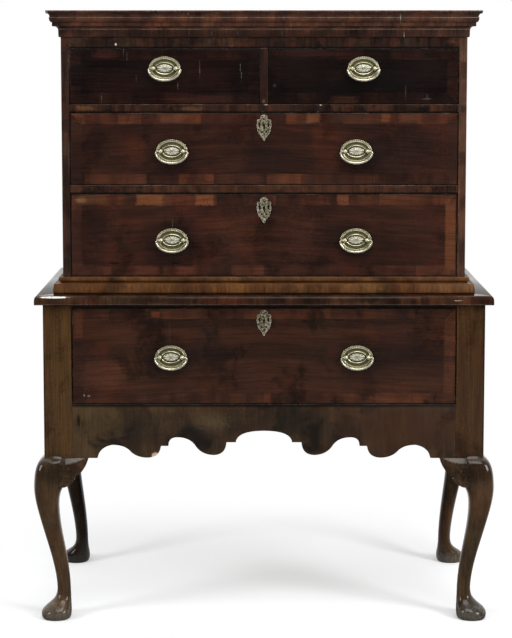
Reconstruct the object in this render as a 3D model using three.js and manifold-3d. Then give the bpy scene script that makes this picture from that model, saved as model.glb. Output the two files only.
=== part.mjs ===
// Chest on stand: an upper chest of four drawers on a cabriole-legged stand with one long drawer.
// Millimetres, +Z up, the front faces -Y, and the origin is under the middle of the whole object.

import * as THREE from 'three';
import { mergeVertices } from 'three/addons/utils/BufferGeometryUtils.js';
import Module from 'manifold-3d';

const wasm = await Module();
wasm.setup();

// Heights, stacked from the floor up
const legHeight = 397;
const apronHeight = 130;
const standOpeningHeight = 233;
const standTopRailHeight = 8;
const standMouldingHeight = 22;
const waistHeight = 38;
const lowerOpeningHeight = 199;
const lowerRailHeight = 20;
const upperOpeningHeight = 173;
const upperRailHeight = 19;
const shortOpeningHeight = 133;
const topRailShownHeight = 25;
const corniceHeight = 63;

// Widths and depths of the two stages
const standWidth = 1049;
const standDepth = 530;
const postWidth = 68;
const chestSetback = 44;
const chestSideSetback = 44.5;
const chestWidth = standWidth - 2 * chestSideSetback;
const chestSideThickness = 19.5;

// Board thicknesses
const standBoardThickness = 20;
const apronThickness = 22;
const standBackThickness = 18;
const standBackHeight = 300;
const chestTopThickness = 18;
const chestBottomThickness = 18;
const chestBackThickness = 12;
const topRailThickness = 22;
const drawerRailDepth = 60;
const dustboardThickness = 9;
const standTopRailDepth = 50;
const dividerWidth = 19;
const dividerDepth = 50;
const guideHeight = 32;
const runnerWidth = 34;
const runnerHeight = 20;
const backBoardCount = 4;
const backGrooveWidth = 3;
const backGrooveDepth = 2;

// Mouldings
const corniceProjection = 32;
const waistProjection = 22;
const standMouldingProjection = 18.5;
const standMouldingSeat = 67;

// Knee brackets
const bracketReach = 56;
const bracketDrop = 66;
const bracketThickness = 24;
const bracketLap = 6;
const bracketTipHeight = 2;

// Scallops of the front apron and of the side boards
const apronArchRise = 66;
const sideArchRise = 40;

// Drawers
const drawerFrontThickness = 22;
const drawerSideThickness = 10;
const drawerBottomThickness = 8;
const drawerBottomRise = 4;
const drawerFrontGap = 1.5;
const drawerRunningGap = 0.3;
const drawerTopDrop = 5;
const drawerBackClearance = 14;

// Oval handle plates with their posts
const plateWidth = 75;
const plateHeight = 56;
const plateEdge = 1.4;
const plateRelief = 3.2;
const postSpacing = 53;
const postLength = 8.6;
const postHeadRadius = 4.9;
const postNeckRadius = 2.9;
const postFlangeRadius = 5.4;
const shankRadius = 2.2;
const shankHoleClearance = 0.6;
const nutRadius = 6;
const nutThickness = 4;

// Bails
const bailWidth = 77;
const bailDrop = 29.5;
const bailRadius = 2.6;
const bailPinClearance = 0.6;
const bailPinInset = 4.2;

// Places of the handles on the drawers
const shortHandleOffset = 235;
const longHandleOffset = 219;
const standHandleOffset = 221;
const shortHandleRise = 85;
const upperHandleRise = 81;
const lowerHandleRise = 88;
const standHandleRise = 114;

// Escutcheons, keyholes and locks
const escutcheonWidth = 35;
const escutcheonHeight = 63;
const escutcheonThickness = 1.3;
const escutcheonDrop = 5;
const lowerEscutcheonDrop = 8;
const keyholeDrop = 26;
const keyholeRadius = 3.4;
const keyholeSlotWidth = 2.8;
const keyholeSlotLength = 9;
const piercingRadius = 2.6;
const lockWidth = 64;
const lockHeight = 46;
const lockPlateThickness = 2.5;
const lockCaseWidth = 50;
const lockCaseHeight = 36;
const lockCaseThickness = 9;
const lockKeywayDepth = 7;
const lockTopRise = 2;

// Fineness of the curves
const curveSteps = 5;
const legSides = 12;
const plateSides = 18;
const postSides = 8;
const holeSides = 8;
const bailSides = 8;
const bailSteps = 20;

// Heights of the parts over the floor
const standOpeningFloor = legHeight + apronHeight;
const standOpeningTop = standOpeningFloor + standOpeningHeight;
const postTop = standOpeningTop + standTopRailHeight;
const standTop = postTop + standMouldingHeight;
const chestFloor = standTop + waistHeight;
const lowerOpeningTop = chestFloor + lowerOpeningHeight;
const upperOpeningFloor = lowerOpeningTop + lowerRailHeight;
const upperOpeningTop = upperOpeningFloor + upperOpeningHeight;
const shortOpeningFloor = upperOpeningTop + upperRailHeight;
const shortOpeningTop = shortOpeningFloor + shortOpeningHeight;
const corniceFloor = shortOpeningTop + topRailShownHeight;
const chestTop = corniceFloor + corniceHeight;
const chestSideTop = chestTop - chestTopThickness;

// Places across and from front to back, with the stand's front face at zero depth
const standHalf = standWidth / 2;
const chestHalf = chestWidth / 2;
const chestInnerHalf = chestHalf - chestSideThickness;
const postInnerHalf = standHalf - postWidth;
const postHalf = postWidth / 2;
const chestFront = chestSetback;
const chestBack = standDepth;
const chestInnerBack = chestBack - chestBackThickness;
const standInnerBack = standDepth - standBackThickness;

// Colours, roughness and metalness of the finishes
const finishes = {
  walnut: { color: 0x4a2d20, roughness: 0.35, metalness: 0 },
  darkWalnut: { color: 0x2e1d18, roughness: 0.32, metalness: 0 },
  goldenWalnut: { color: 0x6a4829, roughness: 0.38, metalness: 0 },
  oliveWalnut: { color: 0x473423, roughness: 0.36, metalness: 0 },
  oak: { color: 0x8a6a45, roughness: 0.7, metalness: 0 },
  pine: { color: 0x7c5c3a, roughness: 0.8, metalness: 0 },
  brass: { color: 0xb7a66d, roughness: 0.3, metalness: 1 },
  iron: { color: 0x4b4843, roughness: 0.6, metalness: 0.8 },
};

// Outline tables: each row goes to a point, by a line or bent towards a second point
const corniceShares = [
  { to: [0, 0] },
  { to: [0.15, 0.06], bend: [0.15, 0] },
  { to: [0.16, 0.26] },
  { to: [0.52, 0.41], bend: [0.17, 0.41] },
  { to: [0.57, 0.41] },
  { to: [0.57, 0.55] },
  { to: [0.77, 0.74], bend: [0.77, 0.57] },
  { to: [0.72, 0.76] },
  { to: [0.92, 0.88], bend: [0.76, 0.88] },
  { to: [0.95, 0.88] },
  { to: [1, 0.93] },
  { to: [1, 1] },
  { to: [0, 1] },
];
const waistShares = [
  { to: [0, 0] },
  { to: [0.93, 0] },
  { to: [1, 0.16], bend: [1, 0] },
  { to: [0.9, 0.56], bend: [0.96, 0.4] },
  { to: [0.8, 0.62], bend: [0.9, 0.62] },
  { to: [0.2, 0.62] },
  { to: [0.2, 0.7] },
  { to: [0.44, 0.84], bend: [0.42, 0.7] },
  { to: [0.44, 0.95] },
  { to: [0.3, 1], bend: [0.44, 1] },
  { to: [0, 1] },
];
const thumbShares = [
  { to: [0, 0] },
  { to: [1, 0] },
  { to: [1, 0.4] },
  { to: [0.45, 1], bend: [1, 1] },
  { to: [0, 1] },
];
const apronShares = [
  { to: [0, 1] },
  { to: [0.147, 0.58], bend: [0.14, 1] },
  { to: [0.196, 0.58] },
  { to: [0.266, 0.109], bend: [0.2, 0.109] },
  { to: [0.36, 0.47], bend: [0.33, 0.13] },
  { to: [0.453, 0.761], bend: [0.39, 0.761] },
  { to: [0.5, 0.444], bend: [0.5, 0.761] },
  { to: [0.539, 0.444] },
  { to: [0.614, 0.012], bend: [0.545, 0.012] },
  { to: [0.7, 0.26], bend: [0.67, 0.03] },
  { to: [0.793, 0.483], bend: [0.73, 0.483] },
  { to: [0.871, 0], bend: [0.86, 0.4] },
  { to: [1, 0] },
];
const sideArchShares = [
  { to: [0, 1] },
  { to: [0.5, 0.72], bend: [0.3, 1] },
  { to: [0.62, 0.45], bend: [0.61, 0.7] },
  { to: [0.7, 0.45] },
  { to: [0.82, 0], bend: [0.8, 0.4] },
  { to: [1, 0] },
];
const bracketShares = [
  { to: [0, 1] },
  { to: [0.25, 0.93] },
  { to: [0.39, 0.84] },
  { to: [0.48, 0.67] },
  { to: [0.625, 0.54] },
  { to: [0.74, 0.45] },
  { to: [0.875, 0.31] },
  { to: [0.965, 0.16] },
  { to: [1, 0] },
];

// One leg, from the sole up: shares of the leg's height and of half the post's width
const legShares = [
  { up: 0, outer: 1.27, inner: -0.62, roundness: 2 },
  { up: 0.012, outer: 1.35, inner: -0.7, roundness: 2 },
  { up: 0.036, outer: 1.374, inner: -0.73, roundness: 2 },
  { up: 0.056, outer: 1.28, inner: -0.73, roundness: 2 },
  { up: 0.076, outer: 0.98, inner: -0.715, roundness: 2 },
  { up: 0.096, outer: 0.66, inner: -0.69, roundness: 2 },
  { up: 0.122, outer: 0.4, inner: -0.66, roundness: 2 },
  { up: 0.158, outer: 0.3, inner: -0.65, roundness: 2 },
  { up: 0.2, outer: 0.3, inner: -0.645, roundness: 2.1 },
  { up: 0.285, outer: 0.425, inner: -0.575, roundness: 2.2 },
  { up: 0.385, outer: 0.66, inner: -0.435, roundness: 2.3 },
  { up: 0.49, outer: 0.97, inner: -0.24, roundness: 2.4 },
  { up: 0.592, outer: 1.265, inner: -0.07, roundness: 2.6 },
  { up: 0.693, outer: 1.54, inner: 0.02, roundness: 2.8 },
  { up: 0.756, outer: 1.68, inner: -0.01, roundness: 3 },
  { up: 0.805, outer: 1.742, inner: -0.16, roundness: 3.2 },
  { up: 0.835, outer: 1.753, inner: -0.43, roundness: 3.6 },
  { up: 0.909, outer: 1.7, inner: -0.43, roundness: 4 },
  { up: 0.957, outer: 1.53, inner: -0.43, roundness: 4.5 },
  { up: 0.982, outer: 1.34, inner: -0.43, roundness: 5 },
  { up: 1, outer: 1, inner: -0.43, roundness: 6 },
  { up: 1.03, outer: 0.96, inner: -0.43, roundness: 6 },
];
const kneeFloorShare = 0.2;
const kneeBackShare = 0.35;
const bracketFadeShare = 0.12;
const bracketFaceShares = [0, 0.35, 0.7, 1];

// Relief of a handle plate from its centre to its rim: shares of the radius and of the relief
const plateShares = [
  { out: 0, relief: 0.92 },
  { out: 0.3, relief: 0.8 },
  { out: 0.52, relief: 0.62 },
  { out: 0.6, relief: 0.95 },
  { out: 0.66, relief: 0.5 },
  { out: 0.84, relief: 0.45 },
  { out: 0.92, relief: 1 },
];

// Half of a bail from its pin to the middle of its grip: shares of half its width and of its drop
const bailShares = [
  { out: 0.79, down: 0 },
  { out: 0.9, down: 0.02 },
  { out: 0.975, down: 0.14 },
  { out: 1, down: 0.34 },
  { out: 0.93, down: 0.6 },
  { out: 0.72, down: 0.84 },
  { out: 0.4, down: 0.97 },
];

// Half of an escutcheon's edge from its top to its pointed foot, and its piercings
const escutcheonShares = [
  { out: 0, up: 1 },
  { out: 0.16, up: 0.985 },
  { out: 0.3, up: 0.93 },
  { out: 0.34, up: 0.87 },
  { out: 0.52, up: 0.9 },
  { out: 0.74, up: 0.86 },
  { out: 0.82, up: 0.77 },
  { out: 0.72, up: 0.69 },
  { out: 0.86, up: 0.62 },
  { out: 1, up: 0.52 },
  { out: 0.96, up: 0.41 },
  { out: 0.78, up: 0.35 },
  { out: 0.62, up: 0.33 },
  { out: 0.66, up: 0.24 },
  { out: 0.5, up: 0.16 },
  { out: 0.28, up: 0.13 },
  { out: 0.14, up: 0.06 },
  { out: 0, up: 0 },
];
const piercingShares = [
  { out: 0.56, up: 0.79 },
  { out: 0.68, up: 0.5 },
  { out: 0.32, up: 0.24 },
];

/** A mesh of one finish, under its own name. */
function piece(name, geometry, finish) {
  const mesh = new THREE.Mesh(geometry, new THREE.MeshStandardMaterial(finishes[finish]));
  mesh.name = name;
  return mesh;
}

/** Signed volume of an indexed geometry, six times over: positive when its faces point outwards. */
function signedVolume(geometry) {
  const position = geometry.getAttribute('position');
  const index = geometry.getIndex();
  const a = new THREE.Vector3();
  const b = new THREE.Vector3();
  const c = new THREE.Vector3();
  let volume = 0;
  for (let i = 0; i < index.count; i += 3) {
    a.fromBufferAttribute(position, index.getX(i));
    b.fromBufferAttribute(position, index.getX(i + 1));
    c.fromBufferAttribute(position, index.getX(i + 2));
    volume += a.dot(b.cross(c));
  }
  return volume;
}

/** Merges shared vertices and turns the faces outwards. */
function closed(geometry) {
  geometry.deleteAttribute('normal');
  geometry.deleteAttribute('uv');
  const merged = mergeVertices(geometry);
  if (signedVolume(merged) < 0) {
    const index = merged.getIndex();
    for (let i = 0; i < index.count; i += 3) {
      const second = index.getX(i + 1);
      index.setX(i + 1, index.getX(i + 2));
      index.setX(i + 2, second);
    }
  }
  return merged;
}

/** A closed geometry as a solid that can be joined and cut. */
function solid(geometry) {
  const merged = closed(geometry);
  return new wasm.Manifold(new wasm.Mesh({
    numProp: 3,
    vertProperties: new Float32Array(merged.getAttribute('position').array),
    triVerts: new Uint32Array(merged.getIndex().array),
  }));
}

/** A solid as geometry with flat faces. */
function faceted(body) {
  const mesh = body.getMesh();
  const geometry = new THREE.BufferGeometry();
  geometry.setAttribute('position', new THREE.BufferAttribute(mesh.vertProperties, mesh.numProp));
  geometry.setIndex(new THREE.BufferAttribute(mesh.triVerts, 1));
  const flat = geometry.toNonIndexed();
  flat.computeVertexNormals();
  return flat;
}

/** A board between two corners. */
function board(low, high) {
  const geometry = new THREE.BoxGeometry(high[0] - low[0], high[1] - low[1], high[2] - low[2]);
  geometry.translate((low[0] + high[0]) / 2, (low[1] + high[1]) / 2, (low[2] + high[2]) / 2);
  return geometry;
}

/** Points of an outline table, scaled to a width and a height. */
function outline(shares, width, height) {
  const path = new THREE.Path();
  shares.forEach((row, i) => {
    const u = row.to[0] * width;
    const v = row.to[1] * height;
    if (i === 0) {
      path.moveTo(u, v);
    } else if (row.bend) {
      path.quadraticCurveTo(row.bend[0] * width, row.bend[1] * height, u, v);
    } else {
      path.lineTo(u, v);
    }
  });
  return path.getPoints(curveSteps);
}

/** A polygon of the front view, through the depth from near to far. */
function extrudeDepth(shape, near, far) {
  const geometry = new THREE.ExtrudeGeometry(shape, { depth: far - near, bevelEnabled: false });
  geometry.rotateX(Math.PI / 2);
  geometry.translate(0, far, 0);
  return geometry;
}

/** A polygon of the side view (depth, height), across from left to right. */
function extrudeAcross(points, left, right) {
  const shape = new THREE.Shape(points.map(([depth, height]) => new THREE.Vector2(depth, height)));
  const geometry = new THREE.ExtrudeGeometry(shape, { depth: right - left, bevelEnabled: false });
  const basis = new THREE.Matrix4().makeBasis(
    new THREE.Vector3(0, 1, 0), new THREE.Vector3(0, 0, 1), new THREE.Vector3(1, 0, 0));
  geometry.applyMatrix4(basis);
  geometry.translate(left, 0, 0);
  return geometry;
}

/** A closed skin over rings of equally many points, with both ends closed by the same triangles. */
function loft(rings, capFaces) {
  const positions = rings.flat().flatMap((point) => point.toArray());
  const indices = [];
  const count = rings[0].length;
  for (let ring = 0; ring + 1 < rings.length; ring += 1) {
    for (let i = 0; i < count; i += 1) {
      const a = ring * count + i;
      const b = ring * count + (i + 1) % count;
      indices.push(a, b, b + count, a, b + count, a + count);
    }
  }
  const last = (rings.length - 1) * count;
  capFaces.forEach(([a, b, c]) => {
    indices.push(a, c, b);
    indices.push(last + a, last + b, last + c);
  });
  const geometry = new THREE.BufferGeometry();
  geometry.setAttribute('position', new THREE.Float32BufferAttribute(positions, 3));
  geometry.setIndex(indices);
  return closed(geometry);
}

/** Cap triangles of a convex ring: a fan round its first point. */
function fan(count) {
  return Array.from({ length: count - 2 }, (unused, i) => [0, i + 1, i + 2]);
}

/** A moulding along the front and both sides, mitred at the front corners. */
function mitredMoulding(profile, half, front, back, floor) {
  const station = (place) => profile.map((point) => {
    const [x, y] = place(point.x);
    return new THREE.Vector3(x, y, floor + point.y);
  });
  const rings = [
    station((out) => [-half - out, back]),
    station((out) => [-half - out, front - out]),
    station((out) => [half + out, front - out]),
    station((out) => [half + out, back]),
  ];
  return loft(rings, THREE.ShapeUtils.triangulateShape(profile, []));
}

/** The cornice round the top of the chest. */
function corniceMoulding() {
  const profile = outline(corniceShares, corniceProjection, corniceHeight);
  return mitredMoulding(profile, chestHalf, chestFront, chestBack, corniceFloor);
}

/** The waist moulding round the foot of the chest. */
function waistMoulding() {
  const profile = outline(waistShares, waistProjection, waistHeight);
  return mitredMoulding(profile, chestHalf, chestFront, chestBack, standTop);
}

/** The thumb-moulded frame that closes the stand and carries the chest. */
function standTopMoulding() {
  const edge = outline(thumbShares, standMouldingProjection, standMouldingHeight).slice(1, -1);
  const profile = [
    new THREE.Vector2(-standMouldingSeat, 0),
    ...edge,
    new THREE.Vector2(-standMouldingSeat, standMouldingHeight),
  ];
  return mitredMoulding(profile, standHalf, 0, standDepth, postTop);
}

/** A drawer rail with its thinner dustboard, flush on top. */
function railWithDustboard(floor, height) {
  const top = floor + height;
  const railBack = chestFront + drawerRailDepth;
  const profile = [
    [chestFront, floor],
    [railBack, floor],
    [railBack, top - dustboardThickness],
    [chestInnerBack, top - dustboardThickness],
    [chestInnerBack, top],
    [chestFront, top],
  ];
  return extrudeAcross(profile, -chestInnerHalf, chestInnerHalf);
}

/** The upright between the short drawers, with the low guide behind it. */
function shortDrawerDivider() {
  const back = chestFront + dividerDepth;
  const guideTop = shortOpeningFloor + guideHeight;
  const profile = [
    [chestFront, shortOpeningFloor],
    [chestInnerBack, shortOpeningFloor],
    [chestInnerBack, guideTop],
    [back, guideTop],
    [back, shortOpeningTop],
    [chestFront, shortOpeningTop],
  ];
  return extrudeAcross(profile, -dividerWidth / 2, dividerWidth / 2);
}

/** The upright back boards, grooved where they meet. */
function backBoards() {
  const left = -chestInnerHalf;
  const pitch = 2 * chestInnerHalf / backBoardCount;
  const shape = new THREE.Shape();
  shape.moveTo(left, chestInnerBack);
  shape.lineTo(chestInnerHalf, chestInnerBack);
  shape.lineTo(chestInnerHalf, chestBack);
  for (let i = backBoardCount - 1; i > 0; i -= 1) {
    const joint = left + i * pitch;
    shape.lineTo(joint + backGrooveWidth / 2, chestBack);
    shape.lineTo(joint, chestBack - backGrooveDepth);
    shape.lineTo(joint - backGrooveWidth / 2, chestBack);
  }
  shape.lineTo(left, chestBack);
  const geometry = new THREE.ExtrudeGeometry(shape, {
    depth: chestSideTop - standTop, bevelEnabled: false });
  geometry.translate(0, 0, standTop);
  return geometry;
}

/** A scalloped board: a half outline mirrored about its middle, under a straight top. */
function scallopedShape(shares, half, rise, floor, top) {
  const right = outline(shares, half, rise);
  const left = right.slice(1).reverse().map((point) => new THREE.Vector2(-point.x, point.y));
  const lower = [...left, ...right].map((point) => new THREE.Vector2(point.x, floor + point.y));
  return new THREE.Shape([...lower, new THREE.Vector2(half, top), new THREE.Vector2(-half, top)]);
}

/** The front apron rail under the stand's drawer. */
function apronFront() {
  const shape = scallopedShape(apronShares, postInnerHalf, apronArchRise, legHeight, standOpeningFloor);
  return extrudeDepth(shape, 0, apronThickness);
}

/** A side board of the stand, between the posts of one side. */
function standSide(side) {
  const half = (standDepth - 2 * postWidth) / 2;
  const shape = scallopedShape(sideArchShares, half, sideArchRise, legHeight, postTop);
  const points = shape.getPoints().map((point) => [point.x + standDepth / 2, point.y]);
  const inner = side * (standHalf - standBoardThickness);
  const outer = side * standHalf;
  return extrudeAcross(points, Math.min(inner, outer), Math.max(inner, outer));
}

/** How far a leg's outer face stands from the post's centre at a share of the leg's height. */
function legOuter(up) {
  const next = Math.max(1, legShares.findIndex((row) => row.up >= up));
  const low = legShares[next - 1];
  const high = legShares[next];
  return THREE.MathUtils.mapLinear(up, low.up, high.up, low.outer, high.outer) * postHalf;
}

/** A rounded square of a leg, between its inner and outer faces both ways. */
function legRing(row, outerAcross, outerDeep, place) {
  const inner = row.inner * postHalf;
  const height = row.up * legHeight;
  return Array.from({ length: legSides }, (unused, i) => {
    const angle = 2 * Math.PI * (i + 0.5) / legSides;
    const reach = (value) => Math.sign(value) * Math.abs(value) ** (2 / row.roundness);
    const across = (outerAcross + inner) / 2 + (outerAcross - inner) / 2 * reach(Math.cos(angle));
    const deep = (outerDeep + inner) / 2 + (outerDeep - inner) / 2 * reach(Math.sin(angle));
    return place(across, deep, height);
  });
}

/** A knee bracket: from the knee inwards along a face, fading back to the face at its tip. */
function kneeBracket(place) {
  const seam = legShares.at(-1).inner * postHalf;
  const points = outline(bracketShares, bracketReach, bracketDrop);
  const rings = points.map((point, i) => {
    const along = point.x / bracketReach;
    const inwards = i === 0 ? bracketLap : -point.x;
    const fade = bracketFadeShare + (1 - bracketFadeShare) * Math.cos(along * Math.PI / 2);
    const floor = legHeight - Math.max(point.y, bracketTipHeight);
    const front = bracketFaceShares.map((share) => {
      const height = THREE.MathUtils.lerp(floor, legHeight, share);
      const proud = (legOuter(height / legHeight) - postHalf) * fade;
      return place(seam + inwards, postHalf + proud, height);
    });
    return [
      ...front,
      place(seam + inwards, postHalf - bracketThickness, legHeight),
      place(seam + inwards, postHalf - bracketThickness, floor),
    ];
  });
  return solid(loft(rings, fan(rings[0].length)));
}

/** One leg: corner post, cabriole leg with its pad foot, and the knee brackets that it carries. */
function leg(side, isFront) {
  const centreAcross = standHalf - postHalf;
  const centreDeep = isFront ? postHalf : standDepth - postHalf;
  const facing = isFront ? -1 : 1;
  const place = (across, deep, height) => new THREE.Vector3(
    side * (centreAcross + across), centreDeep + facing * deep, height);
  const rings = legShares.map((row) => {
    const outer = row.outer * postHalf;
    const proud = Math.max(0, outer - postHalf);
    const isKnee = row.up > kneeFloorShare;
    const outerDeep = isFront || !isKnee ? outer : outer - proud * (1 - kneeBackShare);
    return legRing(row, outer, outerDeep, place);
  });
  const post = board(
    [side * centreAcross - postHalf, centreDeep - postHalf, legHeight],
    [side * centreAcross + postHalf, centreDeep + postHalf, postTop]);
  const sideBracket = kneeBracket((along, proud, height) => place(proud, along, height));
  let body = solid(loft(rings, fan(legSides))).add(solid(post)).add(sideBracket);
  if (isFront) {
    body = body.add(kneeBracket((along, proud, height) => place(along, proud, height)));
  }
  return faceted(body);
}

/** A runner for the stand's drawer, along the posts of one side. */
function standRunner(side) {
  const outer = side * postInnerHalf;
  const inner = side * (postInnerHalf - runnerWidth);
  return board(
    [Math.min(inner, outer), apronThickness, standOpeningFloor - runnerHeight],
    [Math.max(inner, outer), standInnerBack, standOpeningFloor]);
}

/** A round hole of the front view. */
function roundHole(x, z, radius) {
  const hole = new THREE.Path();
  const points = Array.from({ length: holeSides }, (unused, i) => {
    const angle = 2 * Math.PI * i / holeSides;
    return new THREE.Vector2(x + radius * Math.cos(angle), z + radius * Math.sin(angle));
  });
  hole.setFromPoints(points);
  return hole;
}

/** A keyhole of the front view: a round head over a straight slot. */
function keyholePoints(x, z) {
  const halfSlot = keyholeSlotWidth / 2;
  const meet = Math.asin(halfSlot / keyholeRadius);
  const points = [new THREE.Vector2(x - halfSlot, z - keyholeSlotLength)];
  points.push(new THREE.Vector2(x + halfSlot, z - keyholeSlotLength));
  for (let i = 0; i <= holeSides; i += 1) {
    const angle = -Math.PI / 2 + meet + (2 * Math.PI - 2 * meet) * i / holeSides;
    points.push(new THREE.Vector2(x + keyholeRadius * Math.cos(angle), z + keyholeRadius * Math.sin(angle)));
  }
  return points;
}

/** A rectangle of the front view. */
function rectangle(left, right, floor, top) {
  return new THREE.Shape([
    new THREE.Vector2(left, floor),
    new THREE.Vector2(right, floor),
    new THREE.Vector2(right, top),
    new THREE.Vector2(left, top),
  ]);
}

/** The oval plate of a handle with its two posts, shanks and nuts. */
function handlePlate(x, z, face) {
  const rim = plateWidth / 2;
  const front = plateShares.map((row) => new THREE.Vector2(row.out * rim, -row.relief * plateRelief));
  const edge = [[rim, -plateEdge], [rim, 0], [0, 0]].map(([out, depth]) => new THREE.Vector2(out, depth));
  const profile = [...front, ...edge];
  const oval = new THREE.LatheGeometry(profile, plateSides);
  oval.scale(1, 1, plateHeight / plateWidth);
  let body = solid(oval);
  const nutFloor = drawerFrontThickness + nutThickness;
  const headBack = -postLength + postHeadRadius;
  const headFront = -postLength - postHeadRadius;
  const headShoulder = postHeadRadius * Math.SQRT1_2;
  const postProfile = [
    [0, headFront],
    [headShoulder, -postLength - headShoulder],
    [postHeadRadius, -postLength],
    [headShoulder, -postLength + headShoulder],
    [postNeckRadius, headBack],
    [postFlangeRadius, -plateEdge],
    [shankRadius, -plateEdge / 2],
    [shankRadius, drawerFrontThickness],
    [nutRadius, drawerFrontThickness],
    [nutRadius, nutFloor],
    [0, nutFloor],
  ].map(([radius, depth]) => new THREE.Vector2(radius, depth));
  [-1, 1].forEach((side) => {
    const post = new THREE.LatheGeometry(postProfile, postSides);
    post.translate(side * postSpacing / 2, 0, 0);
    body = body.add(solid(post));
    const bore = new THREE.CylinderGeometry(
      bailRadius + bailPinClearance, bailRadius + bailPinClearance, 4 * postHeadRadius, holeSides);
    bore.rotateZ(Math.PI / 2);
    bore.translate(side * postSpacing / 2, -postLength, 0);
    body = body.subtract(solid(bore));
  });
  const geometry = faceted(body);
  geometry.translate(x, face, z);
  return geometry;
}

/** A bail: one bent wire whose ends turn into the two posts. */
function handleBail(x, z, face) {
  const pin = postSpacing / 2 - bailPinInset;
  const half = bailShares.map((row) => [row.out * bailWidth / 2, -row.down * bailDrop]);
  const right = [[pin, 0], ...half].map(([u, v]) => new THREE.Vector3(u, 0, v));
  const left = right.map((point) => new THREE.Vector3(-point.x, 0, point.z)).reverse();
  const curve = new THREE.CatmullRomCurve3([...right, new THREE.Vector3(0, 0, -bailDrop), ...left]);
  const section = new THREE.Shape(Array.from({ length: bailSides }, (unused, i) => {
    const angle = 2 * Math.PI * i / bailSides;
    return new THREE.Vector2(bailRadius * Math.cos(angle), bailRadius * Math.sin(angle));
  }));
  const geometry = new THREE.ExtrudeGeometry(section, { steps: bailSteps, extrudePath: curve });
  geometry.translate(x, face - postLength, z);
  return geometry;
}

/** The pierced escutcheon over a keyhole, cut from flat brass. */
function escutcheon(top, face) {
  const floor = top - escutcheonHeight;
  const at = (row, side) => new THREE.Vector2(
    side * row.out * escutcheonWidth / 2, floor + row.up * escutcheonHeight);
  const right = escutcheonShares.map((row) => at(row, 1)).reverse();
  const left = escutcheonShares.slice(1, -1).map((row) => at(row, -1));
  const shape = new THREE.Shape([...right, ...left]);
  shape.holes.push(new THREE.Path(keyholePoints(0, top - keyholeDrop)));
  piercingShares.forEach((row) => [-1, 1].forEach((side) => {
    const centre = at(row, side);
    shape.holes.push(roundHole(centre.x, centre.y, piercingRadius));
  }));
  return extrudeDepth(shape, face - escutcheonThickness, face);
}

/** A drawer lock on the inner face of a drawer's front, with its keyway. */
function drawerLock(top, face) {
  const plateTop = top + lockTopRise;
  const inner = face + drawerFrontThickness;
  const caseTop = plateTop - (lockHeight - lockCaseHeight) / 2;
  const plate = board(
    [-lockWidth / 2, inner, plateTop - lockHeight],
    [lockWidth / 2, inner + lockPlateThickness, plateTop]);
  const lockCase = board(
    [-lockCaseWidth / 2, inner + lockPlateThickness / 2, caseTop - lockCaseHeight],
    [lockCaseWidth / 2, inner + lockCaseThickness, caseTop]);
  const keyShape = new THREE.Shape(keyholePoints(0, top - keyholeDrop));
  const keyway = extrudeDepth(keyShape, inner - lockPlateThickness, inner + lockKeywayDepth);
  return faceted(solid(plate).add(solid(lockCase)).subtract(solid(keyway)));
}

/** All pieces of one drawer: front, frame of sides and back, bottom, handles, escutcheon and lock. */
function drawer(spec) {
  const left = spec.left + drawerFrontGap;
  const right = spec.right - drawerFrontGap;
  const frontFloor = spec.floor + drawerFrontGap;
  const frontTop = spec.top - drawerFrontGap;
  const inner = spec.face + drawerFrontThickness;
  const frameFloor = spec.floor + drawerRunningGap;
  const frameTop = spec.top - drawerTopDrop;
  const back = spec.back - drawerBackClearance;
  const front = rectangle(left, right, frontFloor, frontTop);
  const pivotHeight = spec.floor + spec.handleRise;
  spec.handles.forEach((handle) => [-1, 1].forEach((side) => {
    front.holes.push(roundHole(
      handle.x + side * postSpacing / 2, pivotHeight, shankRadius + shankHoleClearance));
  }));
  const escutcheonTop = spec.top - spec.escutcheonDrop;
  if (spec.hasLock) {
    front.holes.push(new THREE.Path(keyholePoints(0, escutcheonTop - keyholeDrop)));
  }
  const plan = new THREE.Shape([
    new THREE.Vector2(left, inner),
    new THREE.Vector2(left + drawerSideThickness, inner),
    new THREE.Vector2(left + drawerSideThickness, back - drawerSideThickness),
    new THREE.Vector2(right - drawerSideThickness, back - drawerSideThickness),
    new THREE.Vector2(right - drawerSideThickness, inner),
    new THREE.Vector2(right, inner),
    new THREE.Vector2(right, back),
    new THREE.Vector2(left, back),
  ]);
  const frame = new THREE.ExtrudeGeometry(plan, { depth: frameTop - frameFloor, bevelEnabled: false });
  frame.translate(0, 0, frameFloor);
  const bottomFloor = frameFloor + drawerBottomRise;
  const bottom = board(
    [left + drawerSideThickness, inner, bottomFloor],
    [right - drawerSideThickness, back - drawerSideThickness, bottomFloor + drawerBottomThickness]);
  const group = new THREE.Group();
  group.add(piece(`drawer_front_${spec.name}`, extrudeDepth(front, spec.face, inner), spec.finish));
  group.add(piece(`drawer_frame_${spec.name}`, frame, 'oak'));
  group.add(piece(`drawer_bottom_${spec.name}`, bottom, 'oak'));
  spec.handles.forEach((handle) => {
    group.add(piece(`handle_plate_${handle.name}`, handlePlate(handle.x, pivotHeight, spec.face), 'brass'));
    group.add(piece(`handle_bail_${handle.name}`, handleBail(handle.x, pivotHeight, spec.face), 'brass'));
  });
  if (spec.hasLock) {
    group.add(piece(`escutcheon_${spec.name}`, escutcheon(escutcheonTop, spec.face), 'brass'));
    group.add(piece(`lock_${spec.name}`, drawerLock(escutcheonTop, spec.face), 'iron'));
  }
  return group;
}

/** A pair of handles at equal distances from the middle. */
function handlePair(name, offset) {
  return [{ name: `${name}_left`, x: -offset }, { name: `${name}_right`, x: offset }];
}

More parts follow.
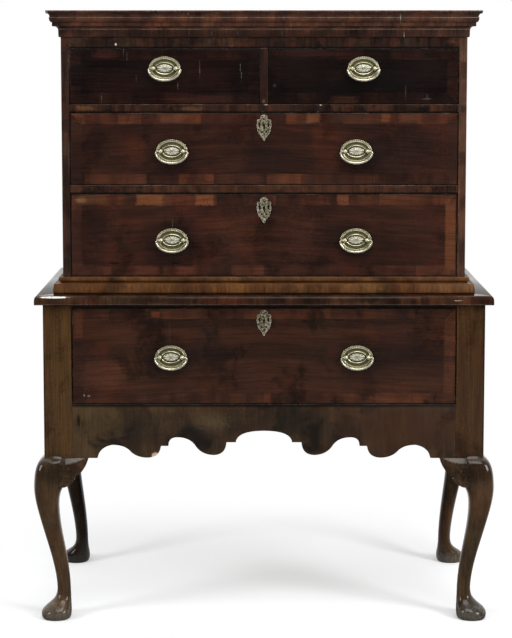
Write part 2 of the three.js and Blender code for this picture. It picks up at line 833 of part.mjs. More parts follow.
/** The boards, rails and mouldings of the upper chest. */
function upperChest() {
  const group = new THREE.Group();
  [['left', -1], ['right', 1]].forEach(([name, side]) => {
    const inner = side * chestInnerHalf;
    const outer = side * chestHalf;
    const geometry = board(
      [Math.min(inner, outer), chestFront, standTop],
      [Math.max(inner, outer), chestBack, chestSideTop]);
    group.add(piece(`upper_side_${name}`, geometry, 'walnut'));
  });
  const topBoard = board([-chestHalf, chestFront, chestSideTop], [chestHalf, chestBack, chestTop]);
  const bottomBoard = board(
    [-chestInnerHalf, chestFront, chestFloor - chestBottomThickness],
    [chestInnerHalf, chestInnerBack, chestFloor]);
  const topRail = board(
    [-chestInnerHalf, chestFront, shortOpeningTop],
    [chestInnerHalf, chestFront + topRailThickness, chestSideTop]);
  group.add(piece('upper_top_board', topBoard, 'pine'));
  group.add(piece('upper_bottom_board', bottomBoard, 'pine'));
  group.add(piece('upper_back_boards', backBoards(), 'pine'));
  group.add(piece('top_rail', topRail, 'darkWalnut'));
  group.add(piece('short_drawer_divider', shortDrawerDivider(), 'darkWalnut'));
  group.add(piece('drawer_rail_upper', railWithDustboard(upperOpeningTop, upperRailHeight), 'walnut'));
  group.add(piece('drawer_rail_lower', railWithDustboard(lowerOpeningTop, lowerRailHeight), 'walnut'));
  group.add(piece('cornice_moulding', corniceMoulding(), 'walnut'));
  group.add(piece('waist_moulding', waistMoulding(), 'goldenWalnut'));
  return group;
}

/** The boards, rails, legs and runners of the stand. */
function stand() {
  const group = new THREE.Group();
  const topRail = board([-postInnerHalf, 0, standOpeningTop], [postInnerHalf, standTopRailDepth, postTop]);
  const backBoard = board(
    [-postInnerHalf, standInnerBack, standTop - standBackHeight],
    [postInnerHalf, standDepth, standTop]);
  group.add(piece('stand_top_moulding', standTopMoulding(), 'walnut'));
  group.add(piece('stand_top_rail', topRail, 'darkWalnut'));
  group.add(piece('stand_back_board', backBoard, 'pine'));
  group.add(piece('apron_front', apronFront(), 'oliveWalnut'));
  [['left', -1], ['right', 1]].forEach(([name, side]) => {
    group.add(piece(`stand_side_${name}`, standSide(side), 'walnut'));
    group.add(piece(`stand_runner_${name}`, standRunner(side), 'oak'));
    group.add(piece(`leg_front_${name}`, leg(side, true), 'oliveWalnut'));
    group.add(piece(`leg_back_${name}`, leg(side, false), 'oliveWalnut'));
  });
  return group;
}

/** The five drawers. */
function drawers() {
  const chest = { face: chestFront, back: chestInnerBack };
  const long = {
    ...chest,
    left: -chestInnerHalf,
    right: chestInnerHalf,
    hasLock: true,
    escutcheonDrop,
    finish: 'walnut',
  };
  const short = {
    ...chest,
    floor: shortOpeningFloor,
    top: shortOpeningTop,
    handleRise: shortHandleRise,
    hasLock: false,
    finish: 'darkWalnut',
  };
  const specs = [
    {
      ...short,
      name: 'short_left',
      left: -chestInnerHalf,
      right: -dividerWidth / 2,
      handles: [{ name: 'short_left', x: -shortHandleOffset }],
    },
    {
      ...short,
      name: 'short_right',
      left: dividerWidth / 2,
      right: chestInnerHalf,
      handles: [{ name: 'short_right', x: shortHandleOffset }],
    },
    {
      ...long,
      name: 'upper_long',
      floor: upperOpeningFloor,
      top: upperOpeningTop,
      handleRise: upperHandleRise,
      handles: handlePair('upper', longHandleOffset),
    },
    {
      ...long,
      name: 'lower_long',
      floor: chestFloor,
      top: lowerOpeningTop,
      escutcheonDrop: lowerEscutcheonDrop,
      handleRise: lowerHandleRise,
      handles: handlePair('lower', longHandleOffset),
    },
    {
      ...long,
      name: 'stand',
      face: 0,
      back: standInnerBack,
      left: -postInnerHalf,
      right: postInnerHalf,
      floor: standOpeningFloor,
      top: standOpeningTop,
      handleRise: standHandleRise,
      handles: handlePair('stand', standHandleOffset),
    },
  ];
  const group = new THREE.Group();
  specs.forEach((spec) => group.add(drawer(spec)));
  return group;
}

const highboy = new THREE.Group();
highboy.name = 'highboy';
highboy.add(upperChest(), stand(), drawers());

// The origin lies on the floor under the middle of the whole object
const bounds = new THREE.Box3().setFromObject(highboy, true);
highboy.position.y = -(bounds.min.y + bounds.max.y) / 2;

export default highboy;
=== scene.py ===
"""Looks of a walnut chest on stand: four drawers over a cabriole-legged stand with one long drawer.

Metres, +Z up, and the front faces -Y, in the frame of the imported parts.
"""

import logging
import math
from contextlib import contextmanager
from dataclasses import dataclass, field, replace
from enum import Enum
from typing import Callable, Iterator, Optional, Sequence, Union

import bmesh
import bpy
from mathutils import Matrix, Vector


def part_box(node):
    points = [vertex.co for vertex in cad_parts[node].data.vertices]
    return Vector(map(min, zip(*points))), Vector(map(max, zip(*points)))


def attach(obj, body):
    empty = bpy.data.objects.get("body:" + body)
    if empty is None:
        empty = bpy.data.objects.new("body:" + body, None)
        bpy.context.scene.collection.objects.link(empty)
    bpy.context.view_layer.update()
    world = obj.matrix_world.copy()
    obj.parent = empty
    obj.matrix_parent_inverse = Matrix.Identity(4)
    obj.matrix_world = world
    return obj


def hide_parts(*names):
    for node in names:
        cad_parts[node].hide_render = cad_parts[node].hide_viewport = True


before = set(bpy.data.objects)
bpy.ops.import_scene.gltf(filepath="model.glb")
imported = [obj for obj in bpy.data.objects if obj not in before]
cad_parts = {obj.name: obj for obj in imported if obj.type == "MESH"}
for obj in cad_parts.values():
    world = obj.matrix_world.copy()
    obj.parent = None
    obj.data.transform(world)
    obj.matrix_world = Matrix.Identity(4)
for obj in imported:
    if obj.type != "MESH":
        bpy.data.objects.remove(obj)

LOG = logging.getLogger("chest_on_stand")
MM = 0.001
WELD = 0.01 * MM
TONE = "tone"

Colour = tuple[float, float, float]
Value = Union[float, Sequence[float], "Signal"]
Piece = bpy.types.Object
Tree = bpy.types.NodeTree
Material = bpy.types.Material
Outputs = dict[Union[str, int], "Signal"]
Row = Sequence[float]
Box = tuple[Vector, Vector]
Placing = Callable[[float, float, float], Vector]

ORIGIN = (0.0, 0.0, 0.0)
SIDE_FACE = (1.0, 0.0, 0.0)
FRONT_FACE = (0.0, 1.0, 0.0)
SIDES = ((-1, "left"), (1, "right"))
LOCKED = ("upper_long", "lower_long", "stand")
HANDLES: dict[str, tuple[str, ...]] = {
    "short_left": ("short_left",), "short_right": ("short_right",),
    "upper_long": ("upper_left", "upper_right"), "lower_long": ("lower_left", "lower_right"),
    "stand": ("stand_left", "stand_right")}


# Modelling at the bench


def only(piece: Piece) -> None:
    """Selects one object alone and makes it active.

    Args:
        piece: The object.
    """
    bpy.ops.object.select_all(action="DESELECT")
    piece.select_set(True)
    bpy.context.view_layer.objects.active = piece


def select_whole() -> None:
    """Selects all of the mesh in edit mode."""
    bpy.ops.mesh.select_all(action="SELECT")


@contextmanager
def bench(piece: Piece, picks: str = "VERT") -> Iterator[None]:
    """Opens a piece in edit mode, alone and with all of it selected.

    Args:
        piece: The object to edit.
        picks: What is picked there: VERT, EDGE or FACE.

    Yields:
        Nothing; the piece is in edit mode meanwhile.
    """
    only(piece)
    bpy.ops.object.mode_set(mode="EDIT")
    bpy.ops.mesh.select_mode(type=picks)
    select_whole()
    yield
    bpy.ops.object.mode_set(mode="OBJECT")


def pick_points(piece: Piece, test: Callable[[Vector], bool]) -> None:
    """Selects the vertices whose place passes a test, in edit mode.

    Args:
        piece: The object being edited.
        test: Says of a place whether it is picked.
    """
    bpy.ops.mesh.select_all(action="DESELECT")
    mesh = bmesh.from_edit_mesh(piece.data)
    for vertex in mesh.verts:
        if test(vertex.co):
            vertex.select = True
    mesh.select_flush(True)
    bmesh.update_edit_mesh(piece.data)


def pick_edges(piece: Piece, test: Callable[[Vector, Vector], bool]) -> None:
    """Selects the edges whose two ends pass a test, in edit mode.

    Args:
        piece: The object being edited.
        test: Says of two ends whether their edge is picked.
    """
    bpy.ops.mesh.select_all(action="DESELECT")
    mesh = bmesh.from_edit_mesh(piece.data)
    for edge in mesh.edges:
        if test(edge.verts[0].co, edge.verts[1].co):
            edge.select_set(True)
    bmesh.update_edit_mesh(piece.data)


def name_piece(piece: Piece, name: str) -> Piece:
    """Names an object and its mesh, and gives the object back."""
    piece.name = piece.data.name = name
    return piece


def new_primitive(name: str, add: Callable[..., object], **settings: object) -> Piece:
    """Adds a primitive under a name, with its place applied to its mesh.

    Args:
        name: The piece's name.
        add: The operator that adds it.
        settings: The operator's settings.

    Returns:
        The new object.
    """
    bpy.ops.object.select_all(action="DESELECT")
    add(**settings)
    piece = name_piece(bpy.context.active_object, name)
    bpy.ops.object.transform_apply(location=True, rotation=True, scale=True)
    return piece


def move(step: Row) -> None:
    """Moves what is selected in edit mode by a step."""
    bpy.ops.transform.translate(value=step)


def extrude(step: Row) -> None:
    """Extrudes what is selected in edit mode by a step."""
    bpy.ops.mesh.extrude_region_move(TRANSFORM_OT_translate={"value": step})


def resize(scale: Row, centre: Row) -> None:
    """Scales what is selected in edit mode by three factors, about a point that stays."""
    bpy.ops.transform.resize(value=scale, center_override=centre)


def trace(name: str, points: Sequence[Vector], fill: bool = True) -> Piece:
    """Traces an outline point by point, from a plane pinched to one vertex.

    Args:
        name: The piece's name.
        points: The outline's points.
        fill: Whether the outline closes and gets a face.

    Returns:
        The new object.
    """
    piece = new_primitive(name, bpy.ops.mesh.primitive_plane_add, size=MM, location=points[0])
    with bench(piece):
        bpy.ops.mesh.merge(type="CENTER")
        for start, end in zip(points, points[1:]):
            extrude(end - start)
        if fill:
            select_whole()
            bpy.ops.mesh.edge_face_add()
    return piece


def face_outwards(piece: Piece, merge: float = 0.0) -> None:
    """Merges doubles, then turns the faces of a closed piece outwards.

    Args:
        piece: The object.
        merge: How close two vertices lie that are merged, or 0 for none.
    """
    with bench(piece):
        if merge > 0:
            bpy.ops.mesh.remove_doubles(threshold=merge)
        bpy.ops.mesh.normals_make_consistent(inside=False)


def apply_modifier(piece: Piece, kind: str, **settings: object) -> None:
    """Gives a piece a modifier and applies it.

    Args:
        piece: The object.
        kind: The modifier's type.
        settings: The modifier's settings.
    """
    only(piece)
    modifier = piece.modifiers.new(kind.title(), kind)
    for key, value in settings.items():
        setattr(modifier, key, value)
    bpy.ops.object.modifier_apply(modifier=modifier.name)


def soften(piece: Piece, width: float, segments: int = 2, angle: float = 35.0) -> None:
    """Rounds a piece's arrises by a bevel.

    Args:
        piece: The object.
        width: The bevel's width.
        segments: How many faces go round it.
        angle: The least angle in degrees of an edge that is rounded.
    """
    apply_modifier(piece, "BEVEL", width=width, segments=segments, limit_method="ANGLE",
                   angle_limit=math.radians(angle), use_clamp_overlap=True)


def smooth(piece: Piece, angle: float = 35.0) -> None:
    """Shades a piece smooth except at edges sharper than an angle in degrees."""
    only(piece)
    bpy.ops.object.shade_smooth_by_angle(angle=math.radians(angle))


def join(pieces: Sequence[Piece], name: str) -> Piece:
    """Joins several objects into the first one.

    Args:
        pieces: The objects.
        name: The joined piece's name.

    Returns:
        The joined object.
    """
    only(pieces[0])
    for piece in pieces[1:]:
        piece.select_set(True)
    bpy.ops.object.join()
    return name_piece(bpy.context.active_object, name)


def copy_to(piece: Piece, name: str, step: Vector) -> Piece:
    """Copies a modelled piece, with its own mesh in its new place.

    Args:
        piece: The object that is copied.
        name: The copy's name.
        step: How far the copy lies from it.

    Returns:
        The copy.
    """
    only(piece)
    bpy.ops.object.duplicate(linked=False)
    copy = name_piece(bpy.context.active_object, name)
    copy.location = step
    bpy.ops.object.transform_apply(location=True, rotation=False, scale=False)
    return copy


def curve_points(rows: Sequence[Row], width: float, height: float, steps: int) -> list[tuple[float, float]]:
    """Points of an outline table in shares, scaled to a width and a height.

    Args:
        rows: Each row goes to a point, by a line or bent towards a second point.
        width: The size that the first share follows.
        height: The size that the second share follows.
        steps: How many pieces a bent stretch gets.

    Returns:
        The points, in metres.
    """
    points = [(rows[0][0] * width, rows[0][1] * height)]
    for row in rows[1:]:
        start = Vector(points[-1])
        end = Vector((row[0] * width, row[1] * height))
        if len(row) == 2:
            points.append(tuple(end))
            continue
        bend = Vector((row[2] * width, row[3] * height))
        for step in range(1, steps + 1):
            t = step / steps
            points.append(tuple(start * (1 - t) ** 2 + bend * 2 * t * (1 - t) + end * t ** 2))
    return points


def set_tone(piece: Piece, tone_at: Callable[[Vector], float]) -> None:
    """Notes on each point of a brass piece how clean and bright it is, and on the plates where painted shadow
    darkens it round the posts.

    Args:
        piece: The object.
        tone_at: Gives the tone at a place.
    """
    tones = piece.data.attributes.new(TONE, "FLOAT", "POINT")
    for vertex, tone in zip(piece.data.vertices, tones.data):
        tone.value = tone_at(vertex.co)


def paint(piece: Piece, material: Material) -> None:
    """Gives a piece one material alone."""
    piece.data.materials.clear()
    piece.data.materials.append(material)


def finish_piece(piece: Piece, body: str, slot: str, material: Material, *nodes: str) -> None:
    """Dresses a new piece, hangs it on its body and lets it stand for its nodes.

    Args:
        piece: The object.
        body: The body that it rides on.
        slot: Not used.
        material: Its material.
        nodes: The nodes that it replaces.
    """
    paint(piece, material)
    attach(piece, body)
    if nodes:
        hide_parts(*nodes)


# Node trees


class Signal:
    """One output in a node tree. A sum or comparison written on it becomes a node."""

    def __init__(self, graph: "Graph", socket: bpy.types.NodeSocket) -> None:
        """Notes the socket and the graph that it is in."""
        self.graph = graph
        self.socket = socket

    def __add__(self, other: Value) -> "Signal":
        """Adds."""
        return self.graph.sum("ADD", self, other)

    def __sub__(self, other: Value) -> "Signal":
        """Takes away."""
        return self.graph.sum("SUBTRACT", self, other)

    def __rsub__(self, other: Value) -> "Signal":
        """Is taken away."""
        return self.graph.sum("SUBTRACT", other, self)

    def __mul__(self, other: Value) -> "Signal":
        """Multiplies."""
        return self.graph.sum("MULTIPLY", self, other)

    def __truediv__(self, other: Value) -> "Signal":
        """Divides."""
        return self.graph.sum("DIVIDE", self, other)

    def __lt__(self, other: Value) -> "Signal":
        """1 where it is less, and 0 elsewhere."""
        return self.graph.sum("LESS_THAN", self, other)

    def __abs__(self) -> "Signal":
        """Its size without its sign."""
        return self.graph.sum("ABSOLUTE", self)


class Graph:
    """Adds nodes to one tree and links them; most calls give back a signal."""

    def __init__(self, tree: Tree) -> None:
        """Takes the tree that the nodes go into."""
        self.tree = tree

    @staticmethod
    def blank(owner: Union[Material, bpy.types.World]) -> "Graph":
        """Empties the tree of a new material or world.

        Args:
            owner: The material or world.

        Returns:
            The graph of its tree.
        """
        owner.use_nodes = True
        owner.node_tree.nodes.clear()
        return Graph(owner.node_tree)

    def put(self, socket: bpy.types.NodeSocket, value: Value) -> None:
        """Links a socket to a signal, or sets its own value.

        Args:
            socket: The input.
            value: The signal, a number or several.
        """
        if isinstance(value, Signal):
            self.tree.links.new(value.socket, socket)
        elif isinstance(value, (int, float)):
            socket.default_value = value
        else:
            socket.default_value = (*value, 1.0)[:len(socket.default_value)]

    def node(self, kind: str, inputs: dict[Union[str, int], Value], **settings: object) -> Outputs:
        """Adds one node.

        Args:
            kind: The node's type, without its prefix.
            inputs: Values or sources of its inputs, by name or place.
            settings: The node's own settings.

        Returns:
            Its outputs, by name and by place.
        """
        made = self.tree.nodes.new("ShaderNode" + kind)
        for key, value in settings.items():
            setattr(made, key, value)
        for key, value in inputs.items():
            self.put(made.inputs[key], value)
        return {key: Signal(self, socket) for place, socket in enumerate(made.outputs)
                for key in (place, socket.name)}

    def sum(self, operation: str, a: Value, b: Value = 0.0, clamp: bool = False) -> Signal:
        """One sum of two numbers, or of two vectors where either is one.

        Args:
            operation: The sum's kind.
            a: Its first part.
            b: Its second part.
            clamp: Whether a number stays between 0 and 1.

        Returns:
            The sum.
        """
        if any(isinstance(part, tuple) or isinstance(part, Signal) and part.socket.type == "VECTOR"
               for part in (a, b)):
            return self.node("VectorMath", {0: a, 1: b or ORIGIN}, operation=operation)[0]
        return self.node("Math", {0: a, 1: b}, operation=operation, use_clamp=clamp)[0]

    def least(self, a: Value, b: Value) -> Signal:
        """The smaller of two values."""
        return self.sum("MINIMUM", a, b)

    def most(self, a: Value, b: Value) -> Signal:
        """The larger of two values."""
        return self.sum("MAXIMUM", a, b)

    def axes(self, vector: Value) -> tuple[Signal, ...]:
        """The three parts of a vector."""
        parts = self.node("SeparateXYZ", {0: vector})
        return parts[0], parts[1], parts[2]

    def joined(self, x: Value, y: Value, z: Value) -> Signal:
        """A vector of three parts."""
        return self.node("CombineXYZ", {0: x, 1: y, 2: z})[0]

    def noise(self, vector: Value, scale: Value, detail: float = 2.0, roughness: float = 0.5,
              distortion: float = 0.0) -> Signal:
        """Smooth noise between 0 and 1."""
        return self.node("TexNoise", {"Vector": vector, "Scale": scale, "Detail": detail,
                                      "Roughness": roughness, "Distortion": distortion})[0]

    def cells(self, place: Value, **settings: object) -> Outputs:
        """Uneven lengths along a line, each with a colour of its own."""
        return self.node("TexVoronoi", {"W": place, "Scale": 1.0}, voronoi_dimensions="1D", **settings)

    def remap(self, value: Value, low: Value, high: Value, to_low: Value = 0.0,
              to_high: Value = 1.0) -> Signal:
        """A smooth step of a value from one range to another."""
        return self.node("MapRange", {0: value, 1: low, 2: high, 3: to_low, 4: to_high},
                         interpolation_type="SMOOTHSTEP")[0]

    def mix(self, factor: Value, a: Value, b: Value, blend: str = "MIX") -> Signal:
        """Two colours mixed."""
        return self.node("Mix", {0: factor, 6: a, 7: b}, data_type="RGBA", blend_type=blend)[2]

    def toned(self, colour: Value, tone: Value) -> Signal:
        """A colour multiplied by a number."""
        return self.mix(1.0, colour, self.node("CombineColor", {0: tone, 1: tone, 2: tone})[0], "MULTIPLY")

    def ramp(self, factor: Value, stops: Sequence[tuple[float, Colour]]) -> Signal:
        """A colour ramp.

        Args:
            factor: Where on the ramp the colour is taken.
            stops: Places and colours, in rising order.

        Returns:
            The colour.
        """
        ramp = self.node("ValToRGB", {0: factor})[0]
        elements = ramp.socket.node.color_ramp.elements
        while len(elements) < len(stops):
            elements.new(1.0)
        for element, (place, colour) in zip(elements, stops):
            element.position = place
            element.color = (*colour, 1.0)
        return ramp

    def group(self, tree: Tree, **inputs: Value) -> Outputs:
        """Places a shared group; an input's name has _ for its spaces."""
        named = {key.replace("_", " "): value for key, value in inputs.items()}
        return self.node("Group", named, node_tree=tree)

    def shade(self, height: Value, strength: float, distance: float, inputs: dict[str, Value]) -> None:
        """Ends a material's tree with its shader.

        Args:
            height: The height of its fine relief.
            strength: How strongly that relief shows.
            distance: How deep the relief is.
            inputs: The shader's other inputs, by name.
        """
        bump = self.node("Bump", {"Strength": strength, "Distance": distance, "Height": height})
        shader = self.node("BsdfPrincipled", {**inputs, "Normal": bump[0]})
        self.node("OutputMaterial", {0: shader[0]})

    def sight(self, deep: Value, low: float, high: float) -> tuple[Signal, Signal, Signal]:
        """How a ray sees the white surroundings.

        Args:
            deep: A distance towards the back.
            low: Where a reflection starts to show white.
            high: Where it is all white.

        Returns:
            Whether it is a reflection, whether it is one of what lies behind, and whether it sees white.
        """
        path = self.node("LightPath", {})
        mirrored = self.most(path["Is Glossy Ray"], path["Is Transmission Ray"])
        behind = mirrored * self.remap(deep, low, high)
        return mirrored, behind, self.most(path["Is Camera Ray"], behind)


class Group(Graph):
    """A shared node group that is being made."""

    def __init__(self, name: str, inputs: dict[str, Value], outputs: Sequence[str]) -> None:
        """Makes the group with its sockets.

        Args:
            name: The group's name.
            inputs: Names and default values; three numbers make a vector, four a colour.
            outputs: Names of the values it puts out; a name that ends in Colour is a colour.
        """
        super().__init__(bpy.data.node_groups.new(name, "ShaderNodeTree"))
        for label, value in inputs.items():
            count = 1 if isinstance(value, float) else len(value)
            kind = {1: "NodeSocketFloat", 3: "NodeSocketVector", 4: "NodeSocketColor"}[count]
            socket = self.tree.interface.new_socket(name=label, in_out="INPUT", socket_type=kind)
            socket.default_value = value
        for label in outputs:
            kind = "NodeSocketColor" if label.endswith("Colour") else "NodeSocketFloat"
            self.tree.interface.new_socket(name=label, in_out="OUTPUT", socket_type=kind)
        source = self.tree.nodes.new("NodeGroupInput").outputs
        self.sources = [Signal(self, source[label]) for label in inputs]
        self.result = self.tree.nodes.new("NodeGroupOutput").inputs

    def give(self, **results: Value) -> Tree:
        """Links the group's outputs.

        Args:
            results: What each puts out; its name has _ for its spaces.

        Returns:
            The group's tree.
        """
        for key, value in results.items():
            self.put(self.result[key.replace("_", " ")], value)
        return self.tree


def make_grain() -> Tree:
    """Wood with its grain along X: bands of figure, fine fibre and open pores.

    Returns:
        The group.
    """
    g = Group("wood_grain", {"Vector": ORIGIN, "Bands": 40.0, "Waviness": 3.0, "Length": 0.14,
                             "Streaks": 48.0}, ("Figure", "Fibre", "Pores"))
    vector, bands, waviness, length, streaks = g.sources
    drift = g.noise(vector * g.joined(length, 1.0, 1.0), 7.0, 4.0, 0.55, 0.6)
    _, y, z = g.axes(vector)
    phase = (y + z * 0.83) * bands + drift * (waviness * 4.0)
    rings = g.node("Math", {0: g.sum("SINE", phase * 2.0), 1: 0.5, 2: 0.5}, operation="MULTIPLY_ADD")[0]
    fibre = g.noise(vector * (9.0, 260.0, 260.0), 1.0, 3.0, 0.65)
    broad = g.noise(vector * g.joined(3.0, streaks, streaks), 1.0, 4.0, 0.62)
    figure = g.sum("ADD", rings * 0.14 + broad * 0.5, drift * 0.40, clamp=True)
    pores = g.noise(vector * (60.0, 1500.0, 1500.0), 1.0, 1.0)
    return g.give(Figure=figure, Fibre=fibre, Pores=g.remap(pores, 0.60, 0.72))


def make_blotches() -> Tree:
    """Slow changes of tone: dark stains, warm patches and faded ones.

    Returns:
        The group.
    """
    g = Group("blotches", {"Vector": ORIGIN, "Scale": 6.0, "Seed": 0.0}, ("Dark", "Warm", "Faded"))
    vector, scale, seed = g.sources
    vector = vector + g.joined(seed, seed * 1.7, 0.0)
    dark = g.noise(vector, scale, 5.0, 0.62, 0.5)
    warm = g.noise(vector + (4.1, 2.3, 7.7), scale, 3.0, 0.5)
    faded = g.noise(vector + (9.4, 6.2, 1.5), scale * 0.55, 4.0, 0.6)
    return g.give(Dark=g.remap(dark, 0.5, 0.66), Warm=g.remap(warm, 0.5, 0.68),
                  Faded=g.remap(faded, 0.5, 0.7))


def make_arris() -> Tree:
    """Wear along the arrises of a board that lies between two corners.

    Returns:
        The group.
    """
    g = Group("arris_wear", {"Vector": ORIGIN, "Low": ORIGIN, "High": ORIGIN, "Width": 1.0 * MM,
                             "Roughness": 140.0}, ("Edge", "Chips"))
    vector, low, high, width, roughness = g.sources
    a, b, c = g.axes(g.least(abs(vector - low), abs(high - vector)))
    middle = g.most(g.least(a, b), g.least(g.most(a, b), c))
    rag = g.noise(vector, roughness, 3.0, 0.7)
    patch = g.noise(vector, 17.0, 2.0)
    worn = middle < width * g.remap(rag, 0.35, 0.7, 0.3, 1.6)
    return g.give(Edge=g.remap(middle, 0.0, width * 3.0, 1.0, 0.0), Chips=worn * g.remap(patch, 0.57, 0.64))


def make_veneer() -> Tree:
    """Which part of a board is veneer: a thin skin inside the faces that are named.

    Returns:
        The group.
    """
    g = Group("veneer_skin", {"Vector": ORIGIN, "Low": ORIGIN, "High": ORIGIN, "Low Faces": ORIGIN,
                              "High Faces": ORIGIN, "Thickness": 1.5 * MM}, ("Veneer",))
    vector, low, high, low_faces, high_faces, thickness = g.sources
    total: Value = 0.0
    for gap, flags in ((abs(vector - low), low_faces), (abs(high - vector), high_faces)):
        for distance, flag in zip(g.axes(gap), g.axes(flags)):
            total = g.most(total, (distance < thickness) * flag)
    return g.give(Veneer=total)


def make_crossband() -> Tree:
    """A cross-banded border of a drawer front, cut in short lengths of veneer, with a painted shadow along
    its top and sides and a painted highlight along its lower edge.

    Returns:
        The group.
    """
    g = Group("crossbanding", {"Vector": ORIGIN, "Low": ORIGIN, "High": ORIGIN, "Band": 27 * MM,
                               "Length": 0.075, "Seed": 0.0},
              ("Band", "Upright", "Seam", "Joint", "Tone", "Gap", "Lit"))
    vector, low, high, width, length, seed = g.sources
    sway = g.noise(vector, 26.0, 1.0) * (2.2 * MM)
    left, _, floor = g.axes(vector - low)
    right, _, top = g.axes(high - vector)
    side = g.least(left, right) + sway
    level = g.least(floor, top) + sway
    nearest = g.least(side, level)
    band = nearest < width
    upright = band * (side < level)
    corner = g.remap(abs(side - level), 0.0, 2 * MM, 0.3, 1.0)
    seam = g.remap(abs(nearest - width), 0.1 * MM, 0.8 * MM, 1.0, 0.0) * corner
    is_high = (right < left) + (top < floor)
    x, _, z = g.axes(vector)
    run = x * (1.0 - upright) + z * upright
    place = (run + is_high * 3.7 + seed) / length
    tone = g.node("SeparateColor", {0: g.cells(place)["Color"]})[0]
    joint = g.remap(g.cells(place, feature="DISTANCE_TO_EDGE")[0], 0.004, 0.016, 1.0, 0.0) * band
    rag = g.noise(vector, 90.0, 3.0, 0.7)
    # Painted shadow in the gap along the top and sides, and a painted highlight on the lower edge.
    gap_shadow_width = rag * (4.4 * MM)
    gap = g.remap(g.least(g.least(left, right), top), gap_shadow_width * 0.6, gap_shadow_width, 1.0, 0.0)
    lit = g.remap(floor, 0.5 * MM, 1.3 * MM, 1.0, 0.0) * g.remap(rag, 0.36, 0.55)
    return g.give(Band=band, Upright=upright, Seam=seam, Joint=joint, Tone=tone, Gap=gap, Lit=lit)


def make_cracks() -> Tree:
    """Fine upright cracks in old veneer, here and there.

    Returns:
        The group.
    """
    g = Group("age_cracks", {"Vector": ORIGIN, "Spacing": 0.045, "Amount": 0.5}, ("Crack",))
    vector, spacing, amount = g.sources
    wander = g.noise(vector, 22.0, 2.0) * (3 * MM)
    place = (g.axes(vector)[0] + wander) / spacing
    line = g.remap(g.cells(place, feature="DISTANCE_TO_EDGE")[0], 0.004, 0.02, 1.0, 0.0)
    patch = g.noise(vector * (21.0, 1.0, 8.0), 1.0, 2.0, 0.6)
    limit = 1.0 - amount * 0.62
    return g.give(Crack=line * g.remap(patch, limit - 0.06, limit))


def make_polish() -> Tree:
    """Old wax polish: uneven gloss, faint rubbing marks and slight hollows.

    Returns:
        The group.
    """
    g = Group("wax_polish", {"Vector": ORIGIN, "Gloss": 0.3, "Spread": 0.14}, ("Roughness", "Height"))
    vector, gloss, spread = g.sources
    cloudy = g.noise(vector, 9.0, 4.0, 0.6)
    rubbed = g.noise(vector * (22.0, 300.0, 300.0), 1.0, 2.0)
    offset = (cloudy * 0.75 + rubbed * 0.25 - 0.5) * (spread * 3.0)
    return g.give(Roughness=g.sum("ADD", gloss, offset, clamp=True), Height=g.noise(vector, 14.0, 2.0))


def make_dust() -> Tree:
    """Pale dust on faces that look upwards.

    Returns:
        The group.
    """
    g = Group("dust", {"Vector": ORIGIN, "Amount": 0.5}, ("Dust",))
    vector, amount = g.sources
    upwards = g.remap(g.axes(g.node("NewGeometry", {})["Normal"])[2], 0.55, 0.98)
    specks = g.noise(vector, 60.0, 4.0, 0.7)
    return g.give(Dust=upwards * g.remap(specks, 0.3, 0.75) * amount)


def make_patina() -> Tree:
    """Old gilt brass, by a tone: 0 is dirt, 1 is bright brass and 2 is silvery worn metal.

    Returns:
        The group.
    """
    g = Group("brass_patina", {"Vector": ORIGIN, "Tone": 1.0, "Bright Colour": (0.6, 0.5, 0.3, 1.0),
                               "Dirt Colour": (0.05, 0.04, 0.02, 1.0),
                               "Silver Colour": (0.6, 0.6, 0.6, 1.0), "Gloss": 0.22, "Spread": 1.2,
                               "Metal Share": 0.75},
              ("Metal Colour", "Roughness", "Height", "Metal"))
    vector, tone, bright, dirt, silver, gloss, spread, metal = g.sources
    mottle = g.noise(vector, 330.0, 3.0, 0.6)
    fine = g.noise(vector, 900.0, 2.0)
    loose = tone + (mottle - 0.5) * spread
    olive = g.mix(g.remap(loose, 0.0, 0.45), dirt, (0.135, 0.120, 0.052))
    brass = g.mix(g.remap(loose, 0.45, 0.95), olive, bright)
    colour = g.mix(g.remap(loose, 1.3, 1.75), brass, silver)
    spots = g.remap(fine, 0.36, 0.26) * 0.6
    rough = g.remap(loose, 0.2, 1.0, 0.26, 0.0) + fine * 0.16
    return g.give(Metal_Colour=g.mix(spots, colour, dirt), Metal=metal * g.remap(loose, 1.2, 1.75, 1.0, 0.45),
                  Roughness=g.sum("ADD", gloss, rough, clamp=True), Height=fine)


def shared(make: Callable[[], Tree]) -> Tree:
    """A field that holds a node group, made when the effects are."""
    return field(default_factory=make)


@dataclass(frozen=True)
class Effects:
    """The effects that several finishes share, each a node group made once."""

    grain: Tree = shared(make_grain)
    blotches: Tree = shared(make_blotches)
    arris: Tree = shared(make_arris)
    veneer: Tree = shared(make_veneer)
    crossband: Tree = shared(make_crossband)
    cracks: Tree = shared(make_cracks)
    polish: Tree = shared(make_polish)
    dust: Tree = shared(make_dust)
    patina: Tree = shared(make_patina)


class Grain(Enum):
    """Which way a piece's grain runs."""

    ACROSS = "x"
    DEEP = "y"
    UPRIGHT = "z"


FIGURE_MIDDLE = 0.51
MARK_REACH = 1.7
CRACK_HALF_WIDTH = 0.75 * MM
PALE: Colour = (0.13, 0.115, 0.10)
WHITE: Colour = (0.62, 0.58, 0.52)
BLACK: Colour = (0.003, 0.0022, 0.002)
RED: Colour = (0.090, 0.026, 0.0125)
HALO: Colour = (0.006, 0.0038, 0.0032)
DUST: Colour = (0.30, 0.27, 0.23)


